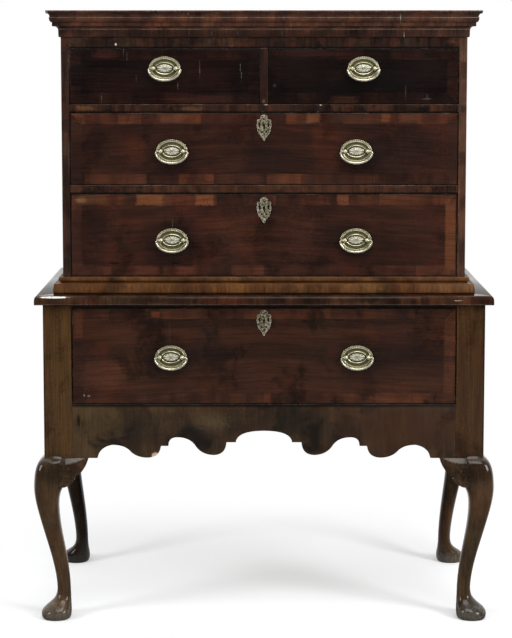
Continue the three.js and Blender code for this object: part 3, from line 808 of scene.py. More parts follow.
@dataclass(frozen=True)
class Mark:
    """A stain, chip, crack or patch at one place of a front."""

    x: float
    z: float
    half_x: float
    half_z: float
    colour: Colour
    strength: float = 0.8
    softness: float = 0.35
    rag: float = 0.25
    square: bool = False

    def touches(self, low: Vector, high: Vector) -> bool:
        """Whether the mark reaches a piece.

        Args:
            low: The piece's lowest corner.
            high: The piece's highest corner.

        Returns:
            True if some of it can show there.
        """
        reach_x, reach_z = MARK_REACH * self.half_x, MARK_REACH * self.half_z
        return (low.x - reach_x < self.x < high.x + reach_x
                and low.z - reach_z < self.z < high.z + reach_z)

    def mask(self, g: Graph, vector: Signal, ragged: Signal) -> Signal:
        """Where the mark shows.

        Args:
            g: The material's nodes.
            vector: Object coordinates.
            ragged: Noise that breaks up its outline.

        Returns:
            Its strength at each place.
        """
        x, _, z = g.axes(vector)
        across = abs((x - self.x) / self.half_x)
        upwards = abs((z - self.z) / self.half_z)
        if self.square:
            reach = g.most(across, upwards)
        else:
            reach = g.sum("SQRT", across * across + upwards * upwards)
        return g.remap(reach + ragged * self.rag, 1.0 - self.softness, 1.0 + self.softness * 0.5,
                       self.strength, 0.0)


@dataclass(frozen=True)
class Details:
    """What sets one piece apart from others of its finish.

    The seed moves its figure. The low and high faces are 1 along each axis where the face with the low or
    high coordinates is veneered; low faces of None are for solid wood. Pale and dark lines are heights with
    half widths: the dark lines are painted shade in gaps and under mouldings, and the pale lines are partly
    worn arrises and partly painted highlight.
    """

    seed: float = 0.0
    low_faces: Optional[Row] = None
    high_faces: Row = ORIGIN
    pale: Sequence[tuple[float, float]] = ()
    dark: Sequence[tuple[float, float]] = ()
    marks: Sequence[Mark] = ()
    tint: Colour = (1.0, 1.0, 1.0)
    tint_floor: Optional[float] = None


@dataclass(frozen=True)
class Banding:
    """The cross-banded border of a drawer front."""

    deep: Colour
    body: Colour
    bright: Colour
    width: float = 27 * MM
    length: float = 0.075


def darker(colour: Colour, share: float) -> Colour:
    """A share of a colour's brightness."""
    return tuple(share * part for part in colour)


@dataclass(frozen=True)
class Wood:
    """A wood finish: its tones from dark to bright, its figure and its wear."""

    name: str
    deep: Colour
    body: Colour
    bright: Colour
    grain: Grain = Grain.ACROSS
    bands: float = 42.0
    waviness: float = 3.0
    figure_length: float = 0.14
    streaks: float = 48.0
    contrast: float = 0.22
    fibre: float = 0.42
    mirrored: bool = False
    tilt: float = 0.0
    board: float = 0.0
    banding: Optional[Banding] = None
    blotch_scale: float = 6.0
    blotch_dark: float = 0.55
    warm: Colour = (0.11, 0.035, 0.014)
    warmth: float = 0.35
    faded: Colour = (0.10, 0.065, 0.034)
    fading: float = 0.2
    gloss: float = 0.30
    gloss_spread: float = 0.12
    specular: float = 0.3
    cracks: float = 0.0
    crack_colour: Colour = (0.004, 0.003, 0.002)
    chips: float = 0.8
    worn: Colour = (0.23, 0.15, 0.085)
    dust: float = 0.25
    core: Colour = (0.24, 0.135, 0.062)
    line_colour: Colour = (0.16, 0.10, 0.065)
    line_strength: float = 0.85

    def material(self, effects: Effects, label: str, box: Box, details: Details) -> Material:
        """The finish as a material of one piece.

        Args:
            effects: The shared node groups.
            label: The piece's name.
            box: The piece's two corners.
            details: What sets the piece apart.

        Returns:
            The material.
        """
        made = bpy.data.materials.new(f"{self.name}_{label}")
        Coat(self, Graph.blank(made), effects, box, details).lay()
        return made


class Coat:
    """A wood finish as it is laid on one piece; its methods lay one part each over a colour."""

    def __init__(self, wood: Wood, g: Graph, effects: Effects, box: Box, details: Details) -> None:
        """Starts the coat.

        Args:
            wood: The finish.
            g: The material's nodes.
            effects: The shared node groups.
            box: The piece's two corners.
            details: What sets the piece apart.
        """
        self.wood, self.g, self.effects, self.details = wood, g, effects, details
        self.low, self.high = box
        self.corners = {"Low": self.low, "High": self.high}
        self.vector = g.node("TexCoord", {})["Object"]
        self.turned = self.placed()
        self.grain = g.group(effects.grain, Vector=self.turned, Bands=wood.bands, Waviness=wood.waviness,
                             Length=wood.figure_length, Streaks=wood.streaks)
        self.arris = g.group(effects.arris, Vector=self.vector, **self.corners)

    def lay(self) -> None:
        """Lays all parts of the finish and ends the material's tree."""
        g, wood, grain, arris = self.g, self.wood, self.grain, self.arris
        colour = g.ramp(grain["Figure"], (
            (FIGURE_MIDDLE - wood.contrast, wood.deep), (FIGURE_MIDDLE, wood.body),
            (FIGURE_MIDDLE + wood.contrast, wood.bright)))
        if wood.banding:
            colour = self.banded(wood.banding, colour)
        if wood.board > 0:
            colour = self.boarded(colour)
        colour = g.mix(grain["Pores"] * 0.45, self.aged(colour), darker(wood.deep, 0.3))
        if wood.cracks > 0:
            cracks = g.group(self.effects.cracks, Amount=wood.cracks,
                             Vector=self.turned if wood.grain is Grain.UPRIGHT else self.vector)
            colour = g.mix(cracks["Crack"], colour, wood.crack_colour)
        colour = g.mix(arris["Edge"] * 0.10, colour, wood.faded)
        colour = self.detailed(g.mix(arris["Chips"] * wood.chips, colour, wood.worn))
        fibre = g.remap(grain["Fibre"], 0.25, 0.75, 1.0 - wood.fibre, 1.0 + 0.8 * wood.fibre)
        colour = g.toned(colour, fibre)
        if self.details.low_faces is not None:
            skin = g.group(self.effects.veneer, Vector=self.vector, Low_Faces=self.details.low_faces,
                           High_Faces=self.details.high_faces, **self.corners)["Veneer"]
            colour = g.mix(skin, g.mix(grain["Fibre"], darker(wood.core, 0.55), wood.core), colour)
        dust = g.group(self.effects.dust, Vector=self.vector, Amount=wood.dust)["Dust"]
        polish = g.group(self.effects.polish, Vector=self.turned, Gloss=wood.gloss, Spread=wood.gloss_spread)
        rough = g.sum("ADD", polish["Roughness"], arris["Chips"] * 0.3 + dust, clamp=True)
        relief = polish["Height"] - (grain["Pores"] * 0.05 + arris["Chips"] * 0.12)
        g.shade(relief, 0.35, 0.9 * MM, {"Base Color": g.mix(dust, colour, DUST), "Roughness": rough,
                                         "Specular IOR Level": wood.specular})

    def placed(self) -> Signal:
        """The piece's coordinates with the grain along X, mirrored where it is book-matched.

        Returns:
            The turned coordinates.
        """
        x, y, z = self.g.axes(self.vector)
        if self.wood.mirrored:
            x = abs(x - ((self.low + self.high) / 2).x)
            z = z + x * self.wood.tilt
        ways = {Grain.ACROSS: (x, y, z), Grain.DEEP: (y, x, z), Grain.UPRIGHT: (z, y, x)}
        seed = self.details.seed
        return self.g.joined(*ways[self.wood.grain]) + (seed * 1.3, seed * 2.1, seed * 0.7)

    def banded(self, banding: Banding, colour: Signal) -> Signal:
        """Lays the cross-banded border.

        Args:
            banding: The border.
            colour: The colour of the field.

        Returns:
            The colour of field, seam and border.
        """
        g = self.g
        border = g.group(self.effects.crossband, Vector=self.vector, Band=banding.width,
                         Length=banding.length, Seed=self.details.seed, **self.corners)
        x, y, z = g.axes(self.vector)
        way = g.mix(border["Upright"], g.joined(z, y, x), self.vector)
        figure = g.group(self.effects.grain, Vector=way, Bands=70.0, Waviness=2.0, Length=0.5)["Figure"]
        tone = figure * 0.9 + (border["Tone"] * 0.52 - 0.15)
        edging = g.ramp(tone, ((0.25, banding.deep), (0.60, banding.body), (0.95, banding.bright)))
        edging = g.mix(border["Joint"] * 0.7, edging, (0.012, 0.006, 0.004))
        colour = g.mix(border["Band"], colour, edging)
        # The seam is a dark joint; the gap line is painted shadow and the lit line is a painted highlight.
        for name, strength, tone in (("Seam", 0.5, (0.010, 0.0055, 0.004)), ("Gap", 0.85, BLACK),
                                     ("Lit", 0.4, (0.13, 0.085, 0.06))):
            colour = g.mix(border[name] * strength, colour, tone)
        return colour

    def boarded(self, colour: Signal) -> Signal:
        """Makes a panel of several boards edge to edge.

        Args:
            colour: The colour of one board.

        Returns:
            The colour, with a tone of its own on each board and dark joints.
        """
        g = self.g
        _, y, z = g.axes(self.turned)
        place = (y + z) / self.wood.board
        board = g.node("TexWhiteNoise", {"W": g.sum("FLOOR", place)}, noise_dimensions="1D")["Value"]
        half = 0.5 - 1.2 * MM / self.wood.board
        gap = g.remap(abs(g.sum("FRACT", place) - 0.5), half - 0.004, half)
        return g.mix(gap, g.toned(colour, g.remap(board, 0.0, 1.0, 0.72, 1.18)), (0.012, 0.008, 0.005))

    def aged(self, colour: Signal) -> Signal:
        """Lays warm, faded and dark blotches.

        Args:
            colour: The colour without them.

        Returns:
            The colour.
        """
        g, wood = self.g, self.wood
        spots = g.group(self.effects.blotches, Vector=self.vector, Scale=wood.blotch_scale,
                        Seed=self.details.seed)
        for name, strength, tone in (("Warm", wood.warmth, wood.warm), ("Faded", wood.fading, wood.faded),
                                     ("Dark", wood.blotch_dark, darker(wood.deep, 0.45))):
            colour = g.mix(spots[name] * strength, colour, tone)
        return colour

    def detailed(self, colour: Signal) -> Signal:
        """Lays the tint, marks, pale lines along arrises (partly worn, partly painted highlight) and dark
        lines of painted shade.

        Args:
            colour: The colour without them.

        Returns:
            The colour.
        """
        g, vector, details = self.g, self.vector, self.details
        marks = [mark for mark in details.marks if mark.touches(self.low, self.high)]
        height = g.axes(vector)[2]
        if details.tint_floor is not None:
            above = g.remap(height, details.tint_floor - 2 * MM, details.tint_floor + 2 * MM)
            colour = g.mix(above, colour, g.mix(1.0, colour, details.tint, "MULTIPLY"))
        if not (marks or details.pale or details.dark):
            return colour
        rag = g.noise(vector, 170.0, 3.0, 0.65) - 0.5
        for mark in marks:
            colour = g.mix(mark.mask(g, vector, rag * 4.0), colour, mark.colour)
        patchy = g.noise(vector * (26.0, 26.0, 1.0), 1.0, 4.0, 0.75)
        # Dark lines are painted shade; pale lines are partly worn arrises and partly painted highlight.
        for lines, tone, low, strength in (
                (details.dark, BLACK, 0.05, 0.92),
                (details.pale, self.wood.line_colour, 0.38, self.wood.line_strength)):
            total: Value = 0.0
            for place, half in lines:
                total = g.most(total, g.remap(abs(height - place), 0.3 * half, half, 1.0, 0.0))
            if lines:
                colour = g.mix(total * g.remap(patchy, low, low + 0.16, 0.15, strength), colour, tone)
        return colour


@dataclass(frozen=True)
class Brass:
    """A brass finish; the piece's "tone" says where it is dirty, bright or silvery, and on the plates where
    painted shadow falls round the posts.
    """

    name: str
    bright: Colour = (0.68, 0.635, 0.44)
    dirt: Colour = (0.022, 0.020, 0.010)
    silver: Colour = (0.76, 0.76, 0.70)
    gloss: float = 0.22
    metallic: float = 0.75
    spread: float = 1.2

    def material(self, effects: Effects, stage: str) -> Material:
        """The finish as a material of the brass on one stage.

        Args:
            effects: The shared node groups.
            stage: The stage, chest or stand.

        Returns:
            The material.
        """
        made = bpy.data.materials.new(f"{self.name}_{stage}")
        g = Graph.blank(made)
        metal = g.group(effects.patina, Vector=g.node("TexCoord", {})["Object"],
                        Tone=g.node("Attribute", {}, attribute_name=TONE)["Fac"],
                        Bright_Colour=self.bright, Dirt_Colour=self.dirt, Silver_Colour=self.silver,
                        Gloss=self.gloss, Spread=self.spread, Metal_Share=self.metallic)
        g.shade(metal["Height"], 0.2, 0.25 * MM, {
            "Base Color": metal["Metal Colour"], "Metallic": metal["Metal"], "Roughness": metal["Roughness"]})
        return made


@dataclass(frozen=True)
class Iron:
    """Dull old iron of the locks."""

    name: str = "lock_iron"
    bright: Colour = (0.16, 0.15, 0.14)
    rust: Colour = (0.09, 0.035, 0.015)

    def material(self, effects: Effects) -> Material:
        """The finish as a material.

        Args:
            effects: The shared node groups.

        Returns:
            The material.
        """
        made = bpy.data.materials.new(self.name)
        g = Graph.blank(made)
        vector = g.node("TexCoord", {})["Object"]
        spots = g.group(effects.blotches, Vector=vector, Scale=60.0)
        polish = g.group(effects.polish, Vector=vector, Gloss=0.5, Spread=0.2)
        g.shade(spots["Dark"], 0.3, 0.3 * MM, {"Base Color": g.mix(spots["Warm"], self.bright, self.rust),
                                               "Metallic": g.remap(spots["Warm"], 0.0, 1.0, 0.9, 0.2),
                                               "Roughness": polish["Roughness"]})
        return made


SHORT_VENEER = Wood(
    "short_veneer", deep=(0.0034, 0.0018, 0.0016), body=(0.0062, 0.0027, 0.0022),
    bright=(0.0120, 0.0044, 0.0031), bands=36.0, streaks=30.0, contrast=0.26, mirrored=True,
    warm=(0.0207, 0.0042, 0.0028), warmth=0.30, faded=(0.0161, 0.0076, 0.0048), fading=0.10, gloss=0.27,
    chips=0.2, cracks=0.32, crack_colour=(0.045, 0.040, 0.037),
    banding=Banding((0.0060, 0.0027, 0.0022), (0.0100, 0.0039, 0.0029), (0.0240, 0.0072, 0.0042)))
LONG_VENEER = Wood(
    "long_veneer", deep=(0.0090, 0.0037, 0.0028), body=(0.0218, 0.0074, 0.0048),
    bright=(0.0525, 0.0155, 0.0075), bands=26.0, waviness=4.0, streaks=26.0, contrast=0.34, fibre=0.3,
    mirrored=True, tilt=0.06, blotch_scale=11.0, warm=(0.0600, 0.0143, 0.0061), warmth=0.42,
    faded=(0.0562, 0.0223, 0.0104), gloss=0.27, chips=0.25, cracks=0.3,
    banding=Banding((0.0186, 0.0070, 0.0048), (0.0372, 0.0122, 0.0067), (0.0806, 0.0244, 0.0101)))
STAND_VENEER = replace(
    LONG_VENEER, name="stand_veneer", deep=(0.0088, 0.0039, 0.0026), body=(0.0245, 0.0089, 0.0048),
    bright=(0.0558, 0.0174, 0.0073), waviness=4.5, contrast=0.32, tilt=0.05, blotch_scale=12.0,
    blotch_dark=0.65, warm=(0.0612, 0.0156, 0.0060), warmth=0.45, faded=(0.0510, 0.0216, 0.0090), chips=0.2,
    banding=Banding((0.0168, 0.0065, 0.0043), (0.0430, 0.0142, 0.0070), (0.0820, 0.0250, 0.0098)))
CORNICE_WALNUT = Wood(
    "cornice_walnut", deep=(0.0146, 0.0073, 0.0056), body=(0.0534, 0.0198, 0.0117),
    bright=(0.1466, 0.0471, 0.0200), grain=Grain.UPRIGHT, bands=60.0, waviness=2.0, figure_length=0.5,
    streaks=20.0, contrast=0.30, blotch_scale=9.0, blotch_dark=0.7, warm=(0.1745, 0.0451, 0.0176),
    warmth=0.55, gloss=0.28, chips=0.5, dust=0.2, line_colour=(0.21, 0.135, 0.088), line_strength=0.62)
WAIST_WALNUT = replace(
    CORNICE_WALNUT, name="waist_walnut", deep=(0.0273, 0.0110, 0.0040), body=(0.0892, 0.0351, 0.0102),
    bright=(0.1684, 0.0700, 0.0183), streaks=22.0, blotch_dark=0.6, warm=(0.0966, 0.0252, 0.0068),
    warmth=0.3, faded=(0.1639, 0.0838, 0.0256), fading=0.3, gloss=0.34, specular=0.2, chips=0.8, dust=0.04,
    line_colour=(0.17, 0.10, 0.055), line_strength=0.35)
STAND_MOULDING_WALNUT = replace(
    CORNICE_WALNUT, name="stand_moulding_walnut", deep=(0.0062, 0.0036, 0.0027),
    body=(0.0243, 0.0100, 0.0060), bright=(0.0677, 0.0254, 0.0110), streaks=22.0,
    warm=(0.0744, 0.0198, 0.0080), warmth=0.4, gloss=0.10, gloss_spread=0.05, specular=0.12, chips=0.8,
    dust=0.04, line_colour=(0.13, 0.10, 0.08), line_strength=0.3)
RAIL_WALNUT = replace(
    CORNICE_WALNUT, name="rail_walnut", deep=(0.0060, 0.0030, 0.0025), body=(0.0198, 0.0080, 0.0053),
    bright=(0.0523, 0.0175, 0.0083), bands=110.0, streaks=60.0, contrast=0.28, blotch_scale=24.0,
    blotch_dark=0.75, warm=(0.0660, 0.0180, 0.0070), warmth=0.5, gloss=0.3, chips=0.45, dust=0.25,
    line_colour=(0.11, 0.07, 0.045), line_strength=0.55)
# The left sides are a shaded copy and the right sides a lit copy of one walnut: painted shade on the left and
# painted light on the right, where the stronger lamp is.
SHADED_LEFT_SIDE_WALNUT = Wood(
    "left_side_walnut", deep=(0.0057, 0.0030, 0.0025), body=(0.0293, 0.0121, 0.0079),
    bright=(0.0610, 0.0227, 0.0127), grain=Grain.UPRIGHT, bands=40.0, streaks=30.0, contrast=0.3,
    blotch_scale=11.0, blotch_dark=0.5, chips=0.3)
LIT_RIGHT_SIDE_WALNUT = replace(
    SHADED_LEFT_SIDE_WALNUT, name="right_side_walnut", deep=(0.0190, 0.0095, 0.0066),
    body=(0.0756, 0.0329, 0.0179), bright=(0.1562, 0.0659, 0.0319), blotch_dark=0.45,
    warm=(0.12, 0.038, 0.016), warmth=0.4)
LEG_WALNUT = Wood(
    "leg_walnut", deep=(0.0058, 0.0034, 0.0022), body=(0.0443, 0.0270, 0.0137),
    bright=(0.0929, 0.0538, 0.0235), grain=Grain.UPRIGHT, bands=55.0, figure_length=0.1, streaks=40.0,
    contrast=0.27, fibre=0.3, blotch_scale=7.0, blotch_dark=0.65, warm=(0.0704, 0.0265, 0.0112),
    faded=(0.1107, 0.0796, 0.0376), fading=0.40, gloss=0.13, gloss_spread=0.08, specular=0.26, chips=0.4)
APRON_WALNUT = Wood(
    "apron_walnut", deep=(0.0106, 0.0059, 0.0034), body=(0.0326, 0.0173, 0.0077),
    bright=(0.0651, 0.0360, 0.0134), grain=Grain.UPRIGHT, bands=30.0, waviness=4.5, figure_length=0.5,
    streaks=16.0, contrast=0.34, fibre=0.2, blotch_scale=11.0, blotch_dark=0.8,
    warm=(0.0748, 0.0288, 0.0095), warmth=0.3, faded=(0.0880, 0.0533, 0.0185), fading=0.45, gloss=0.34,
    chips=0.3)
OAK = Wood(
    "drawer_oak", deep=(0.10, 0.055, 0.025), body=(0.21, 0.125, 0.06), bright=(0.31, 0.20, 0.105),
    grain=Grain.DEEP, bands=110.0, waviness=1.2, blotch_scale=4.0, blotch_dark=0.25,
    warm=(0.22, 0.11, 0.045), warmth=0.3, faded=(0.30, 0.22, 0.13), fading=0.25, gloss=0.62, chips=0.3,
    worn=(0.30, 0.20, 0.11), dust=0.3)
BOTTOM_OAK = replace(OAK, name="bottom_oak", bands=34.0, waviness=3.5, board=0.15)
PINE = Wood(
    "carcase_pine", deep=(0.12, 0.062, 0.025), body=(0.23, 0.125, 0.052), bright=(0.33, 0.195, 0.088),
    grain=Grain.UPRIGHT, bands=75.0, waviness=2.5, board=0.165, blotch_scale=3.0, blotch_dark=0.35,
    warm=(0.2, 0.095, 0.035), warmth=0.3, faded=(0.27, 0.19, 0.115), fading=0.35, gloss=0.72, chips=0.3,
    worn=(0.33, 0.22, 0.12), dust=0.5)
FLAT_PINE = replace(PINE, name="flat_pine", grain=Grain.ACROSS, dust=0.35)
PLATE_BRASS = Brass("plate_brass")
BAIL_BRASS = Brass("bail_brass", bright=(0.78, 0.73, 0.54), gloss=0.16)
ESCUTCHEON_BRASS = Brass("escutcheon_brass", bright=(0.62, 0.56, 0.42), gloss=0.26, spread=4.2)


def crack(x: float, z: float, half_z: float, colour: Colour = PALE, strength: float = 0.6) -> Mark:
    """A fine upright crack.

    Args:
        x: Its place across.
        z: The height of its middle.
        half_z: Half its length.
        colour: Its colour.
        strength: How much it covers.

    Returns:
        The mark.
    """
    return Mark(x, z, CRACK_HALF_WIDTH, half_z, colour, 0.75 * strength, 0.6, 0.7)


def patch(*parts: object) -> Mark:
    """A square mark, with the parts of a mark in their order."""
    return Mark(*parts, square=True)


def pair(x: float, *parts: object) -> tuple[Mark, Mark]:
    """A mark on the left and its like on the right."""
    return Mark(-x, *parts), Mark(x, *parts)


FRONT_MARKS: dict[str, tuple[Mark, ...]] = {
    "short_left": (
        crack(-0.332, 1.363, 0.01), crack(-0.324, 1.352, 0.016, strength=0.35), crack(-0.385, 1.2525, 0.012),
        crack(-0.204, 1.284, 0.01), crack(-0.152, 1.319, 0.019), crack(-0.056, 1.326, 0.01),
        crack(-0.0535, 1.307, 0.011), crack(-0.302, 1.3, 0.008, strength=0.3),
        Mark(-0.375, 1.358, 0.03, 0.012, (0.034, 0.01, 0.007), 0.6, 0.5, 0.3),
        Mark(-0.15, 1.252, 0.085, 0.011, (0.036, 0.011, 0.0075), 0.55, 0.5, 0.3),
        Mark(-0.44, 1.3, 0.014, 0.05, (0.004, 0.003, 0.003), 0.5, 0.6, 0.3)),
    "short_right": (
        Mark(0.025, 1.2835, 0.004, 0.004, (0.035, 0.03, 0.03), 0.6, 0.6),
        patch(0.19, 1.25, 0.034, 0.01, (0.036, 0.0115, 0.007), 0.6, 0.4, 0.3),
        Mark(0.105, 1.36, 0.08, 0.011, (0.03, 0.0095, 0.007), 0.55, 0.5, 0.3),
        crack(0.214, 1.25, 0.011, BLACK, 0.5), crack(0.335, 1.27, 0.016, strength=0.35),
        Mark(0.385, 1.252, 0.01, 0.0009, PALE, 0.5, 0.6, 0.4), crack(0.386, 1.258, 0.006),
        Mark(0.3, 1.3, 0.09, 0.03, (0.004, 0.003, 0.003), 0.45, 0.8, 0.3)),
    "upper_long": (
        patch(-0.447, 1.13, 0.014, 0.075, (0.018, 0.0075, 0.0055), 0.8, 0.2, 0.2),
        patch(0.447, 1.13, 0.014, 0.075, (0.022, 0.009, 0.0065), 0.8, 0.2, 0.2),
        Mark(0.345, 1.13, 0.11, 0.06, (0.011, 0.0055, 0.0045), 0.65, 0.8, 0.4),
        patch(0.117, 1.2075, 0.016, 0.011, (0.112, 0.04, 0.0165), 0.6, 0.35, 0.2),
        patch(0.195, 1.2075, 0.045, 0.012, (0.034, 0.013, 0.008), 0.6, 0.35, 0.3),
        patch(0.288, 1.2075, 0.011, 0.011, (0.1, 0.034, 0.015), 0.6, 0.35, 0.2),
        patch(-0.22, 1.2075, 0.03, 0.011, (0.085, 0.03, 0.014), 0.5, 0.35, 0.2),
        patch(0.345, 1.2075, 0.026, 0.011, (0.095, 0.034, 0.015), 0.5, 0.35, 0.2),
        patch(0.392, 1.2075, 0.018, 0.012, (0.034, 0.013, 0.008), 0.55, 0.35, 0.3),
        Mark(0.0, 1.12, 0.14, 0.05, (0.014, 0.007, 0.0055), 0.5, 0.9, 0.3),
        Mark(-0.365, 1.1, 0.055, 0.04, (0.012, 0.006, 0.005), 0.5, 0.9, 0.3),
        crack(-0.118, 1.196, 0.02, BLACK, 0.35), crack(0.262, 1.06, 0.012, strength=0.35)),
    "lower_long": (
        Mark(-0.435, 1.0115, 0.013, 0.007, (0.15, 0.088, 0.033), 0.75, 0.5, 0.3),
        patch(-0.407, 1.012, 0.036, 0.013, (0.085, 0.036, 0.015), 0.5, 0.4, 0.2),
        patch(-0.272, 1.012, 0.032, 0.013, (0.135, 0.046, 0.0165), 0.7, 0.2, 0.15),
        patch(-0.142, 1.012, 0.022, 0.013, (0.14, 0.046, 0.016), 0.7, 0.25, 0.2),
        patch(0.188, 1.012, 0.014, 0.013, (0.12, 0.038, 0.015), 0.65, 0.25, 0.2),
        crack(-0.144, 1.0125, 0.007, BLACK, 0.9), crack(-0.134, 1.01, 0.007, BLACK, 0.9),
        crack(-0.1395, 1.0115, 0.003, BLACK, 0.9), crack(-0.278, 1.012, 0.012, BLACK, 0.4),
        crack(0.146, 1.012, 0.01, BLACK, 0.7), crack(0.154, 1.013, 0.008, BLACK, 0.6),
        Mark(-0.358, 0.8605, 0.012, 0.0032, BLACK, 0.75, 0.6, 0.5),
        Mark(-0.213, 0.8605, 0.01, 0.003, BLACK, 0.75, 0.6, 0.5),
        crack(-0.294, 0.847, 0.006, BLACK, 0.7), crack(-0.218, 0.955, 0.012, strength=0.55),
        patch(-0.282, 0.8425, 0.03, 0.011, RED, 0.6, 0.4, 0.3),
        patch(-0.374, 0.8425, 0.01, 0.011, RED, 0.6, 0.4, 0.3),
        patch(-0.188, 0.8425, 0.022, 0.011, RED, 0.6, 0.4, 0.3),
        patch(0.444, 0.925, 0.0125, 0.088, (0.102, 0.034, 0.0125), 0.7, 0.2, 0.15),
        Mark(-0.07, 0.93, 0.045, 0.065, (0.058, 0.021, 0.0105), 0.4, 0.9, 0.7),
        Mark(0.085, 0.93, 0.04, 0.07, (0.058, 0.019, 0.009), 0.35, 0.9, 0.9),
        Mark(0.32, 0.93, 0.09, 0.06, (0.01, 0.0055, 0.0045), 0.2, 0.9, 0.4),
        patch(-0.447, 0.925, 0.0125, 0.08, (0.036, 0.0135, 0.0085), 0.5, 0.3, 0.3),
        Mark(-0.4, 0.95, 0.045, 0.055, (0.012, 0.006, 0.005), 0.6, 0.9, 0.5)),
    "stand": (
        patch(-0.257, 0.7435, 0.01, 0.0075, (0.105, 0.028, 0.012), 0.65, 0.15, 0.08),
        crack(-0.2235, 0.7, 0.027, (0.1, 0.09, 0.08), 0.35),
        patch(-0.439, 0.725, 0.0095, 0.036, (0.085, 0.025, 0.011), 0.45, 0.45, 0.25),
        patch(0.438, 0.625, 0.0125, 0.095, (0.062, 0.0215, 0.0105), 0.65, 0.25, 0.2),
        patch(-0.439, 0.62, 0.013, 0.06, (0.022, 0.0088, 0.0055), 0.75, 0.4, 0.3),
        Mark(0.345, 0.64, 0.11, 0.08, (0.012, 0.0055, 0.0045), 0.72, 0.8, 0.5),
        Mark(-0.418, 0.5475, 0.004, 0.0018, (0.3, 0.22, 0.18), 0.7, 0.6, 0.5),
        Mark(-0.428, 0.549, 0.002, 0.003, (0.3, 0.22, 0.18), 0.6, 0.6, 0.5),
        Mark(-0.388, 0.736, 0.008, 0.0012, BLACK, 0.7, 0.6, 0.4),
        Mark(-0.13, 0.66, 0.05, 0.06, (0.016, 0.0085, 0.006), 0.3, 0.9, 0.5),
        Mark(0.11, 0.65, 0.05, 0.07, (0.016, 0.0085, 0.006), 0.25, 0.9, 0.5),
        Mark(-0.38, 0.6, 0.06, 0.035, (0.085, 0.028, 0.013), 0.45, 0.9, 0.5),
        Mark(0.35, 0.59, 0.08, 0.035, (0.07, 0.024, 0.0115), 0.25, 0.9, 0.5)),
}
RAIL_MARKS = (
    patch(0.06, 1.037, 0.42, 0.012, (0.088, 0.031, 0.0135), 0.22, 0.3, 0.8),
    patch(0.0, 1.305, 0.012, 0.064, (0.014, 0.0065, 0.005), 0.5, 0.5, 0.5),
    Mark(-0.4, 1.382, 0.06, 0.012, (0.009, 0.005, 0.004), 0.6, 0.6, 0.6),
    patch(0.0, 1.385, 0.47, 0.013, (0.011, 0.006, 0.0048), 0.38, 0.5, 1.6),
    Mark(-0.35, 1.3805, 0.0024, 0.003, WHITE, 0.9, 0.5, 0.3),
    Mark(0.0036, 1.2385, 0.0042, 0.001, WHITE, 0.7, 0.5, 0.6),
    Mark(-0.003, 1.2215, 0.004, 0.001, WHITE, 0.4, 0.5, 0.6),
    Mark(0.128, 1.2215, 0.003, 0.0012, WHITE, 0.6, 0.5, 0.5),
    Mark(0.134, 1.2375, 0.0035, 0.0012, WHITE, 0.5, 0.5, 0.5),
    Mark(-0.425, 1.23, 0.02, 0.006, (0.11, 0.052, 0.022), 0.55, 0.7, 1.0),
    Mark(-0.17, 1.2285, 0.03, 0.006, (0.1, 0.045, 0.019), 0.5, 0.6, 0.4),
    Mark(0.0, 1.245, 0.0035, 0.008, (0.12, 0.062, 0.028), 0.6, 0.6, 0.5),
)
CORNICE_MARKS_AND_COVE_SHADE = (
    # Painted shade: this first patch darkens the cove along the whole front; the cracks below are real.
    patch(0.0, 1.4, 0.6, 0.017, (0.0085, 0.005, 0.0042), 0.75, 0.95, 0.1),
    Mark(-0.5, 1.428, 0.045, 0.05, (0.01, 0.006, 0.005), 0.65, 0.8, 0.4),
    Mark(0.5, 1.428, 0.035, 0.05, (0.014, 0.007, 0.0055), 0.55, 0.8, 0.4),
    Mark(-0.3, 1.455, 0.1, 0.004, (0.01, 0.006, 0.005), 0.5, 0.8, 0.4),
    Mark(-0.5115, 1.4565, 0.006, 0.003, (0.36, 0.34, 0.23), 0.8, 0.4, 0.3),
    Mark(0.512, 1.456, 0.004, 0.003, (0.3, 0.27, 0.2), 0.5, 0.4, 0.3),
    crack(-0.37, 1.425, 0.024, BLACK, 0.6), crack(-0.178, 1.452, 0.004, WHITE, 0.45),
    crack(-0.178, 1.408, 0.006, PALE, 0.6), crack(-0.124, 1.407, 0.007, PALE, 0.5),
    crack(-0.062, 1.408, 0.006, PALE, 0.6), crack(0.042, 1.409, 0.01, PALE, 0.6),
    crack(0.32, 1.444, 0.009, WHITE, 0.6), crack(0.33, 1.403, 0.007, WHITE, 0.5),
    crack(0.22, 1.42, 0.02, BLACK, 0.5), crack(-0.01, 1.43, 0.02, BLACK, 0.4),
)
APRON_MARKS = (
    Mark(-0.442, 0.487, 0.0045, 0.018, BLACK, 0.85, 0.7, 0.5),
    Mark(-0.432, 0.478, 0.002, 0.012, BLACK, 0.6, 0.7, 0.5),
    Mark(-0.26, 0.404, 0.0085, 0.0075, (0.56, 0.37, 0.26), 0.95, 0.3, 0.5),
    Mark(0.0, 0.495, 0.15, 0.042, (0.012, 0.009, 0.0065), 0.6, 0.9, 0.8),
    Mark(-0.17, 0.45, 0.055, 0.04, (0.01, 0.0078, 0.006), 0.55, 0.9, 0.9),
    Mark(-0.285, 0.48, 0.05, 0.035, (0.012, 0.009, 0.006), 0.45, 0.9, 0.9),
    Mark(-0.12, 0.485, 0.04, 0.022, (0.085, 0.06, 0.026), 0.5, 0.9, 0.8),
    Mark(0.34, 0.47, 0.16, 0.08, (0.039, 0.014, 0.0058), 0.72, 0.6, 0.5),
)
